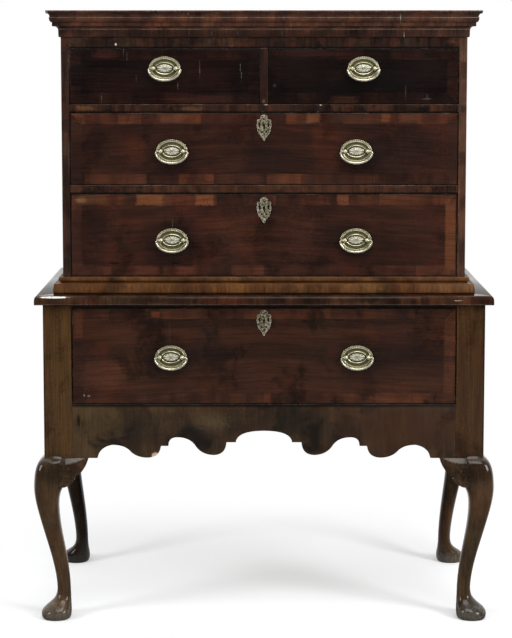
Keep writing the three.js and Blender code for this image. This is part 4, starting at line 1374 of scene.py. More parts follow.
THUMB_MARKS_AND_HIGHLIGHT = (
    # The white streak at the left end is a painted highlight on the moulding's top.
    Mark(-0.497, 0.7865, 0.034, 0.0022, (0.85, 0.83, 0.8), 0.9, 0.4, 0.3),
    Mark(0.456, 0.779, 0.013, 0.0011, (0.4, 0.36, 0.32), 0.5, 0.6, 1.2),
    Mark(-0.25, 0.78, 0.08, 0.006, (0.012, 0.007, 0.005), 0.6, 0.8, 0.6),
    Mark(0.22, 0.78, 0.08, 0.006, (0.012, 0.007, 0.005), 0.6, 0.8, 0.6),
)
LEG_SHADE = patch(-0.46, 0.15, 0.1, 0.26, (0.008, 0.0052, 0.004), 0.82, 0.4)
KNEE_MARKS = (
    Mark(0.5, 0.56, 0.034, 0.2, (0.03, 0.0125, 0.0085), 0.3, 0.5, 0.5),
    patch(0.473, 0.6, 0.015, 0.2, (0.026, 0.0125, 0.0075), 0.6, 0.6, 0.5),
    patch(-0.497, 0.6, 0.013, 0.19, (0.078, 0.04, 0.0155), 0.5, 0.8, 0.6),
    patch(-0.465, 0.6, 0.008, 0.19, (0.034, 0.019, 0.01), 0.4, 0.6, 0.6),
    Mark(-0.45, 0.37, 0.036, 0.034, (0.014, 0.007, 0.005), 0.6, 0.8, 0.5),
    Mark(0.45, 0.37, 0.036, 0.034, (0.014, 0.0065, 0.005), 0.6, 0.8, 0.5),
    *pair(0.5, 0.365, 0.045, 0.042, (0.0065, 0.0045, 0.0035), 0.75, 0.8, 0.4),
    *pair(0.52, 0.3, 0.03, 0.05, (0.06, 0.03, 0.0125), 0.35, 0.8, 0.6),
    *pair(0.48, 0.01, 0.08, 0.017, (0.12, 0.108, 0.088), 0.5, 0.5, 0.9),
)
# Painted shade: thin black lines along the edges of the drawer openings and at the outer corners.
EDGE_SHADE_MARKS = tuple(
    patch(side * place, middle, 1.8 * MM, half, BLACK, strength, 0.5, 0.3)
    for side in (-1, 1) for place, middle, half, strength in (
        (0.4605, 1.1, 0.275, 0.9), (0.4565, 0.643, 0.12, 0.9), (0.4825, 1.1, 0.275, 0.6),
        (0.5225, 0.6, 0.18, 0.6)))
STILE_MARKS = tuple(
    patch(side * 0.472, middle, 0.0085, half, (0.014, 0.0068, 0.0053), 0.62, 0.5, 0.5)
    for side, middle, half in (
        (1, 0.888, 0.033), (1, 1.0045, 0.02), (1, 1.111, 0.018), (1, 1.2285, 0.011), (1, 1.319, 0.022),
        (-1, 0.86, 0.02), (-1, 1.09, 0.03), (-1, 1.19, 0.016), (-1, 1.34, 0.04)))


# Sub-assemblies


SOFT_BOXES = (
    ("soft_box_right", (3.0, -2.3, 2.3), (0.0, 0.0, 0.75), (1.1, 1.8), 95.0),
    ("soft_box_left", (-3.2, -1.9, 2.2), (0.0, 0.0, 0.75), (1.0, 1.6), 60.0),
    ("soft_box_above", (0.3, -1.6, 3.9), (0.0, -0.1, 0.4), (2.4, 1.6), 70.0))


@dataclass
class Studio:
    """A plain pale floor, soft lights and the camera of the photograph."""

    floor_size: float = 14.0
    floor_drop: float = 0.2 * MM
    floor_colour: Colour = (0.800, 0.810, 0.822)
    floor_near_shaded: Colour = (0.680, 0.688, 0.699)
    floor_front: float = 0.12
    sky_front: float = 0.05
    sky_fill: float = 0.55
    camera_place: Row = (-0.019, -4.46, 1.378)
    camera_pitch: float = 5.57
    lens: float = 101.05
    sensor: float = 36.0
    shift: float = -0.155

    def build(self) -> None:
        """Makes floor, world, lights and camera."""
        self.make_floor()
        self.make_world()
        for name, place, aim, size, power in SOFT_BOXES:
            self.add_light(name, place, aim, size, power)
        self.make_camera()
        bpy.context.scene.view_settings.view_transform = "Standard"

    def make_floor(self) -> None:
        """A wide floor that fades to white, so that its edge doesn't show; near the object it is painted
        darker towards the front and glows more towards the back.
        """
        floor = new_primitive("studio_floor", bpy.ops.mesh.primitive_grid_add, size=self.floor_size,
                              x_subdivisions=8, y_subdivisions=8, location=(0, 0, -self.floor_drop))
        made = bpy.data.materials.new("studio_floor")
        g = Graph.blank(made)
        x, y, _ = g.axes(g.node("TexCoord", {})["Object"])
        beyond = g.most(g.remap(y, 0.35, 0.95), g.remap(y * -1.0, 0.55, 1.3))
        away = g.most(beyond, g.remap(abs(x), 0.50, 0.72))
        mirrored, behind, seen = g.sight(y, -0.2, 0.5)
        # Painted shading: the floor is darker towards the front, and its added glow grows towards the back.
        pale = g.mix(g.remap(y, -0.45, 0.1), self.floor_near_shaded, self.floor_colour)
        matt = g.node("BsdfDiffuse", {"Color": g.mix(mirrored - behind, pale, (self.floor_front,) * 3)})
        white = g.node("Emission", {"Color": (1.0, 1.0, 1.0), "Strength": 1.0})
        painted_floor_glow = g.node("Emission", {"Color": (1.0, 1.0, 1.0), "Strength": g.remap(y, -0.4, 0.3, 0.16, 0.36)})
        near = g.node("AddShader", {0: matt[0], 1: painted_floor_glow[0]})
        shown = g.node("MixShader", {0: away, 1: near[0], 2: white[0]})
        g.node("OutputMaterial", {0: g.node("MixShader", {0: seen, 1: matt[0], 2: shown[0]})[0]})
        paint(floor, made)

    def make_world(self) -> None:
        """White behind the object, and dimmer towards the room in front of it."""
        world = bpy.data.worlds.new("studio")
        bpy.context.scene.world = world
        g = Graph.blank(world)
        mirrored, _, white = g.sight(g.axes(g.node("TexCoord", {})["Generated"])[1], -0.1, 0.35)
        room = g.mix(mirrored, (self.sky_fill,) * 3, (self.sky_front,) * 3)
        back = g.node("Background", {"Color": g.mix(white, room, (1.0, 1.0, 1.0)), "Strength": 1.0})
        g.node("OutputWorld", {0: back[0]})

    def add_light(self, name: str, place: Row, aim: Row, size: Row, power: float) -> None:
        """Adds one soft box.

        Args:
            name: The lamp's name.
            place: Where it hangs.
            aim: The point that it faces.
            size: Its width and height.
            power: Its power in watts.
        """
        data = bpy.data.lights.new(name, "AREA")
        data.shape = "RECTANGLE"
        data.size, data.size_y = size
        data.energy = power
        lamp = bpy.data.objects.new(name, data)
        lamp.location = place
        lamp.rotation_euler = (Vector(aim) - Vector(place)).to_track_quat("-Z", "Y").to_euler()
        bpy.context.scene.collection.objects.link(lamp)

    def make_camera(self) -> None:
        """The camera that took the photograph."""
        data = bpy.data.cameras.new("camera")
        data.lens = self.lens
        data.sensor_width = self.sensor
        data.shift_y = self.shift
        camera = bpy.data.objects.new("camera", data)
        camera.location = self.camera_place
        camera.rotation_euler = (math.radians(90.0 - self.camera_pitch), 0.0, 0.0)
        bpy.context.scene.collection.objects.link(camera)
        bpy.context.scene.camera = camera


@dataclass
class Assembly:
    """A sub-assembly, with the node groups that its finishes share."""

    effects: Effects


@dataclass
class MitredMoulding(Assembly):
    """A moulding of one front length and two side returns, mitred at the front corners."""

    name: str
    rows: Sequence[Row]
    slot: str
    finish: Wood
    half: float
    front: float
    back: float
    seat: float = 0.0
    pale: Sequence[float] = ()
    dark: Sequence[float] = ()
    marks: Sequence[Mark] = ()
    steps: int = 8
    arris: float = 0.35 * MM
    pale_line: float = 1.4 * MM
    shade_line_width: float = 1.9 * MM

    @property
    def node(self) -> str:
        """The node that the moulding stands for."""
        return f"{self.name}_moulding"

    def profile(self) -> list[tuple[float, float]]:
        """The moulding's section.

        Returns:
            Its points as distances out and heights.
        """
        low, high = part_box(self.node)
        points = curve_points(self.rows, high.x - self.half, high.z - low.z, self.steps)
        if self.seat > 0:
            points[0] = (-self.seat, 0.0)
            points[-1] = (-self.seat, high.z - low.z)
        return [(out, low.z + up) for out, up in points]

    def make_length(self, name: str, points: Sequence[Vector], run: Vector,
                    cuts: Sequence[tuple[Vector, Vector]]) -> Piece:
        """One length of the moulding, cut off by planes.

        Args:
            name: The piece's name.
            points: The section's points at one end.
            run: The way from that end to the other.
            cuts: Points and normals of the planes past which it is cut off.

        Returns:
            The piece.
        """
        piece = trace(name, points)
        with bench(piece, "FACE"):
            extrude(run)
            for point, normal in cuts:
                select_whole()
                bpy.ops.mesh.bisect(plane_co=point, plane_no=normal, use_fill=True, clear_outer=True)
        face_outwards(piece)
        soften(piece, self.arris)
        smooth(piece, 30.0)
        return piece

    def build(self) -> None:
        """Makes and dresses the three lengths."""
        low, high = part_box(self.node)
        out = high.x - self.half
        section = self.profile()
        start = -self.half - out
        points = [Vector((start, self.front - u, z)) for u, z in section]
        cuts = [(Vector((side * self.half, self.front, low.z)), Vector((side, 1, 0))) for side in (1, -1)]
        front = self.make_length(f"{self.name}_front", points, Vector((-2 * start, 0, 0)), cuts)
        pieces = [(front, 0.3)]
        for side, label in SIDES:
            points = [Vector((side * (self.half + u), self.back, z)) for u, z in section]
            run = Vector((0, self.front - out - self.back, 0))
            cut = (Vector((side * self.half, self.front, low.z)), Vector((-side, -1, 0)))
            pieces.append((self.make_length(f"{self.name}_{label}", points, run, [cut]), side * 1.9))
        # Pale lines are partly worn arrises and partly painted highlight; dark lines are painted shade.
        pale, dark = (tuple((low.z + share * (high.z - low.z), width) for share in shares)
                      for shares, width in ((self.pale, self.pale_line), (self.dark, self.shade_line_width)))
        for piece, seed in pieces:
            material = self.finish.material(self.effects, piece.name, (low, high),
                                            Details(seed, pale=pale, dark=dark, marks=self.marks))
            finish_piece(piece, "carcase", self.slot, material, self.node)


@dataclass
class Boards(Assembly):
    """Boards and rails that keep their own meshes and get softened arrises and a finish."""

    arris: float = 0.8 * MM
    least_angle: float = 40.0
    rail_edge: float = 0.9 * MM
    rail_gap_shade: float = 5.0 * MM

    def dress(self, node: str, finish: Wood, details: Details, arris: float = 0.0) -> None:
        """Rounds and finishes one board.

        Args:
            node: The board's node.
            finish: Its wood.
            details: What sets it apart.
            arris: The width of its rounded arrises, or 0 for the usual one.
        """
        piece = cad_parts[node]
        weld = piece.modifiers.new("Weld", "WELD")
        weld.merge_threshold = WELD
        bevel = piece.modifiers.new("Arris", "BEVEL")
        bevel.width = arris or self.arris
        bevel.segments = 2
        bevel.limit_method = "ANGLE"
        bevel.angle_limit = math.radians(self.least_angle)
        paint(piece, finish.material(self.effects, node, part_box(node), details))

    def build(self) -> None:
        """Finishes the boards of both stages."""
        edges = (*STILE_MARKS, *EDGE_SHADE_MARKS)
        self.dress("upper_side_left", SHADED_LEFT_SIDE_WALNUT, Details(1.1, (1.0, 1.0, 0.0), marks=edges))
        self.dress("upper_side_right", LIT_RIGHT_SIDE_WALNUT, Details(2.3, FRONT_FACE, SIDE_FACE, marks=edges))
        for place, node in enumerate(("top_rail", "short_drawer_divider", "drawer_rail_upper",
                                      "drawer_rail_lower", "stand_top_rail")):
            low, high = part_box(node)
            # The rail's pale top arris is partly wear and partly painted highlight; its dark lower edge is
            # painted shadow in the gap above the drawer below.
            self.dress(node, RAIL_WALNUT, Details(
                3.0 + 1.7 * place, FRONT_FACE, pale=((high.z, self.rail_edge),),
                dark=((low.z, self.rail_gap_shade),), marks=RAIL_MARKS))
        for place, (node, finish) in enumerate((
                ("upper_top_board", FLAT_PINE), ("upper_bottom_board", FLAT_PINE),
                ("upper_back_boards", PINE), ("stand_back_board", PINE))):
            self.dress(node, finish, Details(11.0 + 1.3 * place))
        for place, (_, label) in enumerate(SIDES):
            self.dress(f"stand_runner_{label}", OAK, Details(17.0 + 2.3 * place))


APRON_ROWS = (
    (0, 1), (0.147, 0.58, 0.14, 1), (0.196, 0.58), (0.266, 0.109, 0.2, 0.109), (0.36, 0.47, 0.33, 0.13),
    (0.453, 0.761, 0.39, 0.761), (0.5, 0.444, 0.5, 0.761), (0.539, 0.444), (0.614, 0.012, 0.545, 0.012),
    (0.7, 0.26, 0.67, 0.03), (0.793, 0.483, 0.73, 0.483), (0.871, 0, 0.86, 0.4), (1, 0))
SIDE_ARCH_ROWS = (
    (0, 1), (0.5, 0.72, 0.3, 1), (0.62, 0.45, 0.61, 0.7), (0.7, 0.45), (0.82, 0, 0.8, 0.4), (1, 0))
CORNICE_ROWS = (
    (0, 0), (0.15, 0.06, 0.15, 0), (0.16, 0.26), (0.52, 0.41, 0.17, 0.41), (0.57, 0.41), (0.57, 0.55),
    (0.77, 0.74, 0.77, 0.57), (0.72, 0.76), (0.92, 0.88, 0.76, 0.88), (0.95, 0.88), (1, 0.93), (1, 1),
    (0, 1))
WAIST_ROWS = (
    (0, 0), (0.93, 0), (1, 0.16, 1, 0), (0.9, 0.56, 0.96, 0.4), (0.8, 0.62, 0.9, 0.62), (0.2, 0.62),
    (0.2, 0.7), (0.44, 0.84, 0.42, 0.7), (0.44, 0.95), (0.3, 1, 0.44, 1), (0, 1))
THUMB_ROWS = ((0, 0), (1, 0), (1, 0.4), (0.45, 1, 1, 1), (0, 1))
BRACKET_ROWS = (
    (-0.32, 1.0), (0, 1, -0.1, 1.0), (0.29, 0.88, 0.15, 0.97), (0.45, 0.70, 0.41, 0.82),
    (0.66, 0.52, 0.50, 0.58), (0.80, 0.39, 0.74, 0.48), (0.95, 0.16, 0.90, 0.28), (1, 0, 0.99, 0.08))


@dataclass
class ScallopedBoards(Assembly):
    """The front apron and the stand's side boards, cut below to scallops."""

    apron_rise: float = 66 * MM
    side_rise: float = 40 * MM
    steps: int = 12
    arris: float = 0.9 * MM
    apron_top_shade: float = 9.0 * MM

    def outline(self, rows: Sequence[Row], middle: float, half: float, rise: float,
                box: Box) -> list[tuple[float, float]]:
        """A board's outline as places along it and heights.

        Args:
            rows: The half outline of its lower edge, in shares.
            middle: The place of its middle.
            half: Half its length.
            rise: The height of its middle arch.
            box: Its two corners.

        Returns:
            The outline's points.
        """
        low, high = box
        right = curve_points(rows, half, rise, self.steps)
        left = [(-u, v) for u, v in reversed(right[1:])]
        points = [(u, low.z + v) for u, v in left + right] + [(half, high.z), (-half, high.z)]
        return [(middle + u, z) for u, z in points]

    def build(self) -> None:
        """Makes and dresses the three boards."""
        box = low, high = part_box("apron_front")
        points = [Vector((x, low.y, z)) for x, z in
                  self.outline(APRON_ROWS, 0.0, high.x, self.apron_rise, box)]
        # The dark line along the apron's top is painted shadow under the drawer.
        details = Details(5.2, FRONT_FACE, dark=((high.z, self.apron_top_shade),), marks=APRON_MARKS)
        self.make("apron", points, Vector((0, high.y - low.y, 0)), APRON_WALNUT, "apron_walnut",
                  "apron_front", details)
        for side, label in SIDES:
            box = low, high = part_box(f"stand_side_{label}")
            middle = (low.y + high.y) / 2
            outer, skins, finish = ((low.x, (SIDE_FACE, ORIGIN), SHADED_LEFT_SIDE_WALNUT) if side < 0 else
                                    (high.x, (ORIGIN, SIDE_FACE), LIT_RIGHT_SIDE_WALNUT))
            points = [Vector((outer, y, z)) for y, z in
                      self.outline(SIDE_ARCH_ROWS, middle, high.y - middle, self.side_rise, box)]
            self.make(f"stand_side_board_{label}", points, Vector((-side * (high.x - low.x), 0, 0)),
                      finish, "side_walnut", f"stand_side_{label}", Details(7.0 + side, *skins))

    def make(self, name: str, points: Sequence[Vector], depth: Vector, finish: Wood, slot: str, node: str,
             details: Details) -> None:
        """Makes and dresses one board.

        Args:
            name: The piece's name.
            points: Its outline on the outer face.
            depth: The way from that face to the inner one.
            finish: Its wood.
            slot: The material slot of its finish.
            node: The node that it replaces.
            details: What sets it apart.
        """
        piece = trace(name, points)
        with bench(piece, "FACE"):
            extrude(depth)
        face_outwards(piece)
        soften(piece, self.arris, angle=50.0)
        smooth(piece, 30.0)
        material = finish.material(self.effects, name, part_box(node), details)
        finish_piece(piece, "carcase", slot, material, node)


@dataclass(frozen=True)
class LegRow:
    """One level of a leg: shares of its height and of half its post, and how square it is."""

    up: float
    outer: float
    inner: float
    squareness: float = 0.0


LEG_ROWS = tuple(LegRow(*row) for row in (
    (0.0, 1.27, -0.62), (0.012, 1.36, -0.71), (0.036, 1.40, -0.75), (0.058, 1.28, -0.74),
    (0.078, 0.97, -0.715), (0.1, 0.62, -0.69), (0.126, 0.38, -0.665), (0.158, 0.3, -0.65),
    (0.2, 0.3, -0.645, 0.05), (0.285, 0.42, -0.575, 0.1), (0.385, 0.66, -0.435, 0.15),
    (0.49, 0.97, -0.24, 0.2), (0.592, 1.27, -0.07, 0.3), (0.693, 1.55, 0.02, 0.4), (0.756, 1.69, -0.01, 0.5),
    (0.805, 1.755, -0.16, 0.6), (0.835, 1.77, -0.43, 0.7), (0.909, 1.715, -0.43, 0.8),
    (0.957, 1.56, -0.43, 0.9), (0.985, 1.36, -0.43, 1.0), (1.0, 1.05, -0.43, 1.0), (1.03, 0.9, -0.43, 1.0)))


@dataclass
class CabrioleLegs(Assembly):
    """The four legs with their corner posts, and the brackets glued to their knees."""

    height: float = 397 * MM
    post: float = 68 * MM
    post_arris: float = 1.1 * MM
    round_fit: float = 0.917
    knee_floor: float = 0.2
    knee_back_share: float = 0.35
    foot_crease: float = 0.9
    bracket_reach: float = 56 * MM
    bracket_drop: float = 66 * MM
    bracket_depth: float = 24 * MM
    bracket_fade: float = 0.12
    bracket_rise: float = 0.93
    bracket_sink: float = 0.12
    bracket_proud: float = 0.3 * MM
    bracket_tip: float = 2 * MM
    bracket_levels: int = 5
    tint: Colour = (1.11, 0.92, 0.66)
    rows: Sequence[LegRow] = LEG_ROWS

    def outer(self, up: float) -> float:
        """How far the leg's outer face stands from the post's centre.

        Args:
            up: The level as a share of the leg's height.

        Returns:
            The distance.
        """
        for low, high in zip(self.rows, self.rows[1:]):
            if up <= high.up:
                t = (up - low.up) / (high.up - low.up)
                return (low.outer + (high.outer - low.outer) * t) * self.post / 2
        return self.post / 2

    def ring(self, row: LegRow, side: int, facing: int, centre: Vector) -> tuple[Vector, float, float]:
        """One ring of the cage that is smoothed to a leg.

        Args:
            row: Its level.
            side: -1 on the left and 1 on the right.
            facing: -1 in front and 1 at the back.
            centre: The post's centre.

        Returns:
            Its middle and half sizes.
        """
        half_post = self.post / 2
        fit = self.round_fit + (1.0 - self.round_fit) * row.squareness
        deep_outer = row.outer
        if facing > 0 and row.up > self.knee_floor:
            deep_outer -= max(0.0, row.outer - 1.0) * (1 - self.knee_back_share)
        half_x = (row.outer - row.inner) / 2 * half_post
        half_y = (deep_outer - row.inner) / 2 * half_post
        middle = Vector((centre.x + side * (row.inner * half_post + half_x),
                         centre.y + facing * (row.inner * half_post + half_y), row.up * self.height))
        return middle, half_x / fit, half_y / fit

    def make_stick(self, name: str, side: int, facing: int, centre: Vector, top: float) -> Piece:
        """One leg with its post, as turned and shaped from one stick.

        Args:
            name: The piece's name.
            side: -1 on the left and 1 on the right.
            facing: -1 in front and 1 at the back.
            centre: The post's centre.
            top: The height of the post's top.

        Returns:
            The piece.
        """
        rings = [self.ring(row, side, facing, centre) for row in self.rows]
        middle, half_x, half_y = rings[0]
        leg = new_primitive(name, bpy.ops.mesh.primitive_plane_add, size=2.0, location=middle)
        with bench(leg, "FACE"):
            resize((half_x, half_y, 1.0), middle)
            for before, after in zip(rings, rings[1:]):
                extrude(after[0] - before[0])
                resize((after[1] / before[1], after[2] / before[2], 1.0), after[0])
        slack = 0.1 * MM
        with bench(leg, "EDGE"):
            pick_edges(leg, lambda a, b: a.z < slack and b.z < slack)
            bpy.ops.transform.edge_crease(value=self.foot_crease)
            for before, after in zip(self.rows, self.rows[1:]):
                sharpness = (before.squareness + after.squareness) / 2
                if sharpness > 0:
                    low, high = before.up * self.height - slack, after.up * self.height + slack
                    pick_edges(leg, lambda a, b: abs(a.z - b.z) > 0.5 * MM
                               and low < min(a.z, b.z) and max(a.z, b.z) < high)
                    bpy.ops.transform.edge_crease(value=math.sqrt(sharpness / 10))
        face_outwards(leg)
        apply_modifier(leg, "SUBSURF", levels=3, render_levels=3)
        middle = (centre.x, centre.y, (self.height + top) / 2)
        post = new_primitive(f"{name}_post", bpy.ops.mesh.primitive_cube_add, size=self.post, location=middle)
        with bench(post, "FACE"):
            resize((1.0, 1.0, (top - self.height) / self.post), middle)
        soften(post, self.post_arris, 3)
        leg = join([leg, post], name)
        smooth(leg, 40.0)
        return leg

    def make_bracket(self, name: str, place: Placing) -> Piece:
        """One knee bracket: its scrolled edge below, swelling to meet the knee.

        Args:
            name: The piece's name.
            place: Gives the point at a distance along the bracket, out from the centre, and up.

        Returns:
            The piece.
        """
        half_post = self.post / 2
        seam = self.rows[-1].inner * half_post
        edge = curve_points(BRACKET_ROWS, self.bracket_reach, self.bracket_drop, 5)
        chain = [place(seam - u, half_post, self.height - max(v, self.bracket_tip)) for u, v in edge]
        piece = trace(name, chain, fill=False)
        with bench(piece, "EDGE"):
            for level in range(self.bracket_levels, 0, -1):
                extrude(ORIGIN)
                resize((1.0, 1.0, 1 - 1 / level), (0.0, 0.0, self.height))
        self.swell(piece, place, seam)
        flat = place(0.0, half_post - self.bracket_depth, 0.0)
        step = flat - place(0.0, half_post, 0.0)
        with bench(piece, "FACE"):
            extrude(step)
            resize([0.0 if abs(part) > MM else 1.0 for part in step], flat)
        face_outwards(piece, WELD)
        soften(piece, 1.0 * MM, 3, 50.0)
        smooth(piece, 40.0)
        return piece

    def swell(self, piece: Piece, place: Placing, seam: float) -> None:
        """Brings a bracket's face out to the knee, fading towards its tip.

        Args:
            piece: The bracket, still one flat skin.
            place: Gives the point at a distance along the bracket, out from the centre, and up.
            seam: How far the seam lies from the post's centre.
        """
        base = place(0.0, 0.0, 0.0)
        along_way = (place(1.0, 0.0, 0.0) - base).normalized()
        out_way = (place(0.0, 1.0, 0.0) - base).normalized()
        for vertex in piece.data.vertices:
            run = (seam - (vertex.co - base).dot(along_way)) / self.bracket_reach
            share = math.cos(min(1.0, max(0.0, run)) * math.pi / 2)
            fade = self.bracket_fade + (self.bracket_rise - self.bracket_fade) * share
            proud = self.outer(min(1.0, vertex.co.z / self.height)) - self.post / 2
            sunk = self.bracket_sink * max(0.0, -run) * self.bracket_reach
            vertex.co += out_way * (max(self.bracket_proud, proud * fade) - sunk)

    def build(self) -> None:
        """Makes and dresses the legs and their brackets."""
        for facing, end in ((-1, "front"), (1, "back")):
            for side, label in SIDES:
                self.make_leg(side, facing, f"{end}_{label}", label)

    def make_leg(self, side: int, facing: int, corner: str, label: str) -> None:
        """Makes and dresses one leg with its brackets.

        Args:
            side: -1 on the left and 1 on the right.
            facing: -1 in front and 1 at the back.
            corner: The name of its corner.
            label: The name of its side.
        """
        node = f"leg_{corner}"
        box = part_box(node)
        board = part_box("stand_side_left")
        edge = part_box(f"stand_side_{label}")[1 if side > 0 else 0].x
        depth = board[0].y - self.post / 2 if facing < 0 else board[1].y + self.post / 2
        centre = Vector((edge - side * self.post / 2, depth, 0.0))
        leg = self.make_stick(f"cabriole_{node}", side, facing, centre, box[1].z)
        seed = 2.0 * side + 5.0 * facing
        shade = (LEG_SHADE,) if facing * side < 0 < facing else ()
        details = Details(seed, marks=(*KNEE_MARKS, *EDGE_SHADE_MARKS, *shade), tint=self.tint,
                          tint_floor=self.height + 4 * MM)
        finish_piece(leg, "carcase", "leg_walnut",
                     LEG_WALNUT.material(self.effects, leg.name, box, details), node)
        ways: dict[str, Placing] = {
            "side": lambda a, o, z: Vector((centre.x + side * o, centre.y + facing * a, z))}
        if facing < 0:
            ways["front"] = lambda a, o, z: Vector((centre.x + side * a, centre.y + facing * o, z))
        for way, place in ways.items():
            piece = self.make_bracket(f"knee_bracket_{corner}_{way}", place)
            finish_piece(piece, "carcase", "leg_walnut",
                         LEG_WALNUT.material(self.effects, piece.name, box,
                                             Details(seed + 9.0, marks=KNEE_MARKS)))


def stage_of(label: str) -> str:
    """The stage, chest or stand, that a drawer or handle belongs to."""
    return "stand" if label.startswith("stand") else "chest"


@dataclass
class Handles(Assembly):
    """Eight oval plates with posts, and their bails; each is modelled once and copied."""

    width: float = 75 * MM
    height: float = 56 * MM
    corners: int = 144
    petals: int = 12
    bead_row: float = 0.925
    bead_reach: float = 0.042
    bead_corners: int = 3
    bead_cut: float = 0.8 * MM
    bead_gap_tone: float = 0.15
    petal_start: float = 0.1
    petal_end: float = 0.47
    petal_cut: float = 0.4 * MM
    groove_tone: float = 0.1
    post_spacing: float = 53 * MM
    post_length: float = 8.6 * MM
    post_shadow: float = 5.2 * MM
    post_shadow_fade: float = 3.5 * MM
    front_thickness: float = 22 * MM
    nut_radius: float = 6 * MM
    nut_depth: float = 3.6 * MM
    bail_width: float = 75.5 * MM
    bail_drop: float = 28 * MM
    bail_thin: float = 2.0 * MM
    bail_thick: float = 2.7 * MM
    pin_inset: float = 4.2 * MM
    plate_rows: Sequence[Row] = (
        (1.0, 1.0, 0.0, 0.3), (1.0, 1.0, 1.2, 0.2), (0.985, 0.98, 2.0, 1.2), (0.965, 0.955, 2.4, 1.3),
        (0.955, 0.94, 2.0, 0.6), (0.925, 0.905, 2.5, 1.25), (0.885, 0.855, 2.0, 0.6),
        (0.87, 0.835, 2.5, 1.2), (0.85, 0.81, 2.4, 0.9), (0.82, 0.77, 1.5, 0.4), (0.77, 0.70, 1.0, 0.3),
        (0.71, 0.63, 0.8, 0.4), (0.66, 0.565, 0.9, 0.5), (0.635, 0.535, 1.4, 0.2), (0.62, 0.515, 2.4, 0.8),
        (0.60, 0.49, 2.9, 1.2), (0.575, 0.46, 2.6, 0.9), (0.56, 0.44, 2.0, 0.3), (0.535, 0.405, 1.6, 0.1),
        (0.51, 0.36, 1.5, 0.1), (0.49, 0.325, 1.9, 0.6), (0.45, 0.29, 2.5, 1.3), (0.36, 0.225, 3.0, 1.65),
        (0.24, 0.15, 3.3, 1.65), (0.12, 0.075, 3.4, 1.4), (0.03, 0.02, 3.45, 0.9))
    post_rows: Sequence[Row] = (
        (0.0, -13.5), (1.6, -13.3), (3.2, -12.4), (4.4, -10.9), (4.9, -8.9), (4.5, -6.8), (3.5, -5.3),
        (2.9, -4.4), (2.9, -3.6), (3.7, -3.1), (5.2, -2.7), (5.5, -2.1), (5.1, -1.2), (2.2, -0.7),
        (2.2, 22.0), (2.2, 25.6), (0.0, 25.9))
    bail_rows: Sequence[Row] = (
        (0.79, 0.0), (0.90, 0.0), (0.97, 0.06), (0.993, 0.18), (0.955, 0.345), (0.86, 0.54),
        (0.72, 0.71), (0.54, 0.85), (0.33, 0.95), (0.15, 0.99))

    def make_plate(self) -> Piece:
        """Makes the plate: a beaded rim, a plain hollow and a ring round a rosette of petals.

        Returns:
            The plate.
        """
        plate = new_primitive("plate_pattern", bpy.ops.mesh.primitive_circle_add, vertices=self.corners,
                              radius=1.0, fill_type="NGON", rotation=(math.pi / 2, 0, 0))
        with bench(plate, "FACE"):
            resize((self.width / 2, 1.0, self.height / 2), ORIGIN)
            for before, after in zip(self.plate_rows, self.plate_rows[1:]):
                extrude((0.0, (before[2] - after[2]) * MM, 0.0))
                resize((after[0] / before[0], 1.0, after[1] / before[1]), ORIGIN)
        set_tone(plate, self.brass_tone_at)
        beads = self.sink(plate, self.is_bead_gap, self.bead_cut)
        grooves = self.sink(plate, self.is_petal_edge, self.petal_cut)
        for index, tone in enumerate(plate.data.attributes[TONE].data):
            if index in beads:
                tone.value = self.bead_gap_tone
            elif index in grooves:
                tone.value = self.groove_tone
        face_outwards(plate)
        return plate

    def row_at(self, place: Vector) -> Row:
        """The ring of the plate that a point lies on.

        Args:
            place: The point.

        Returns:
            The ring's row of the table.
        """
        u, v = 2 * place.x / self.width, 2 * place.z / self.height
        return min(self.plate_rows, key=lambda row: abs(math.hypot(u / row[0], v / row[1]) - 1.0)
                   + abs(place.y + row[2] * MM) / MM)

    def brass_tone_at(self, place: Vector) -> float:
        """The plate's tone at a point: its ring's tone, with painted shadow close round the posts."""
        gap = math.hypot(abs(place.x) - self.post_spacing / 2, place.z)
        return self.row_at(place)[3] * min(1.0, max(0.1, (gap - self.post_shadow) / self.post_shadow_fade))

    def turn(self, place: Vector) -> int:
        """How many corners round the plate a point lies."""
        around = math.atan2(place.z / self.height, place.x / self.width) / (2 * math.pi)
        return round(around % 1.0 * self.corners)

    def is_bead_gap(self, place: Vector) -> bool:
        """Whether a point lies between two beads of the rim."""
        return (abs(self.row_at(place)[0] - self.bead_row) < self.bead_reach
                and self.turn(place) % self.bead_corners == 0)

    def is_petal_edge(self, place: Vector) -> bool:
        """Whether a point lies in a groove between two petals.

        Args:
            place: The point.

        Returns:
            True if it does.
        """
        each = self.corners // self.petals
        off = self.turn(place) % each
        return self.petal_start < self.row_at(place)[0] < self.petal_end and min(off, each - off) <= 1

    def sink(self, plate: Piece, test: Callable[[Vector], bool], depth: float) -> set[int]:
        """Sinks the points of the plate that pass a test.

        Args:
            plate: The plate.
            test: Says of a place whether it is sunk.
            depth: How deep.

        Returns:
            The points' numbers.
        """
        with bench(plate):
            pick_points(plate, test)
            move((0.0, depth, 0.0))
        return {place.index for place in plate.data.vertices if place.select}

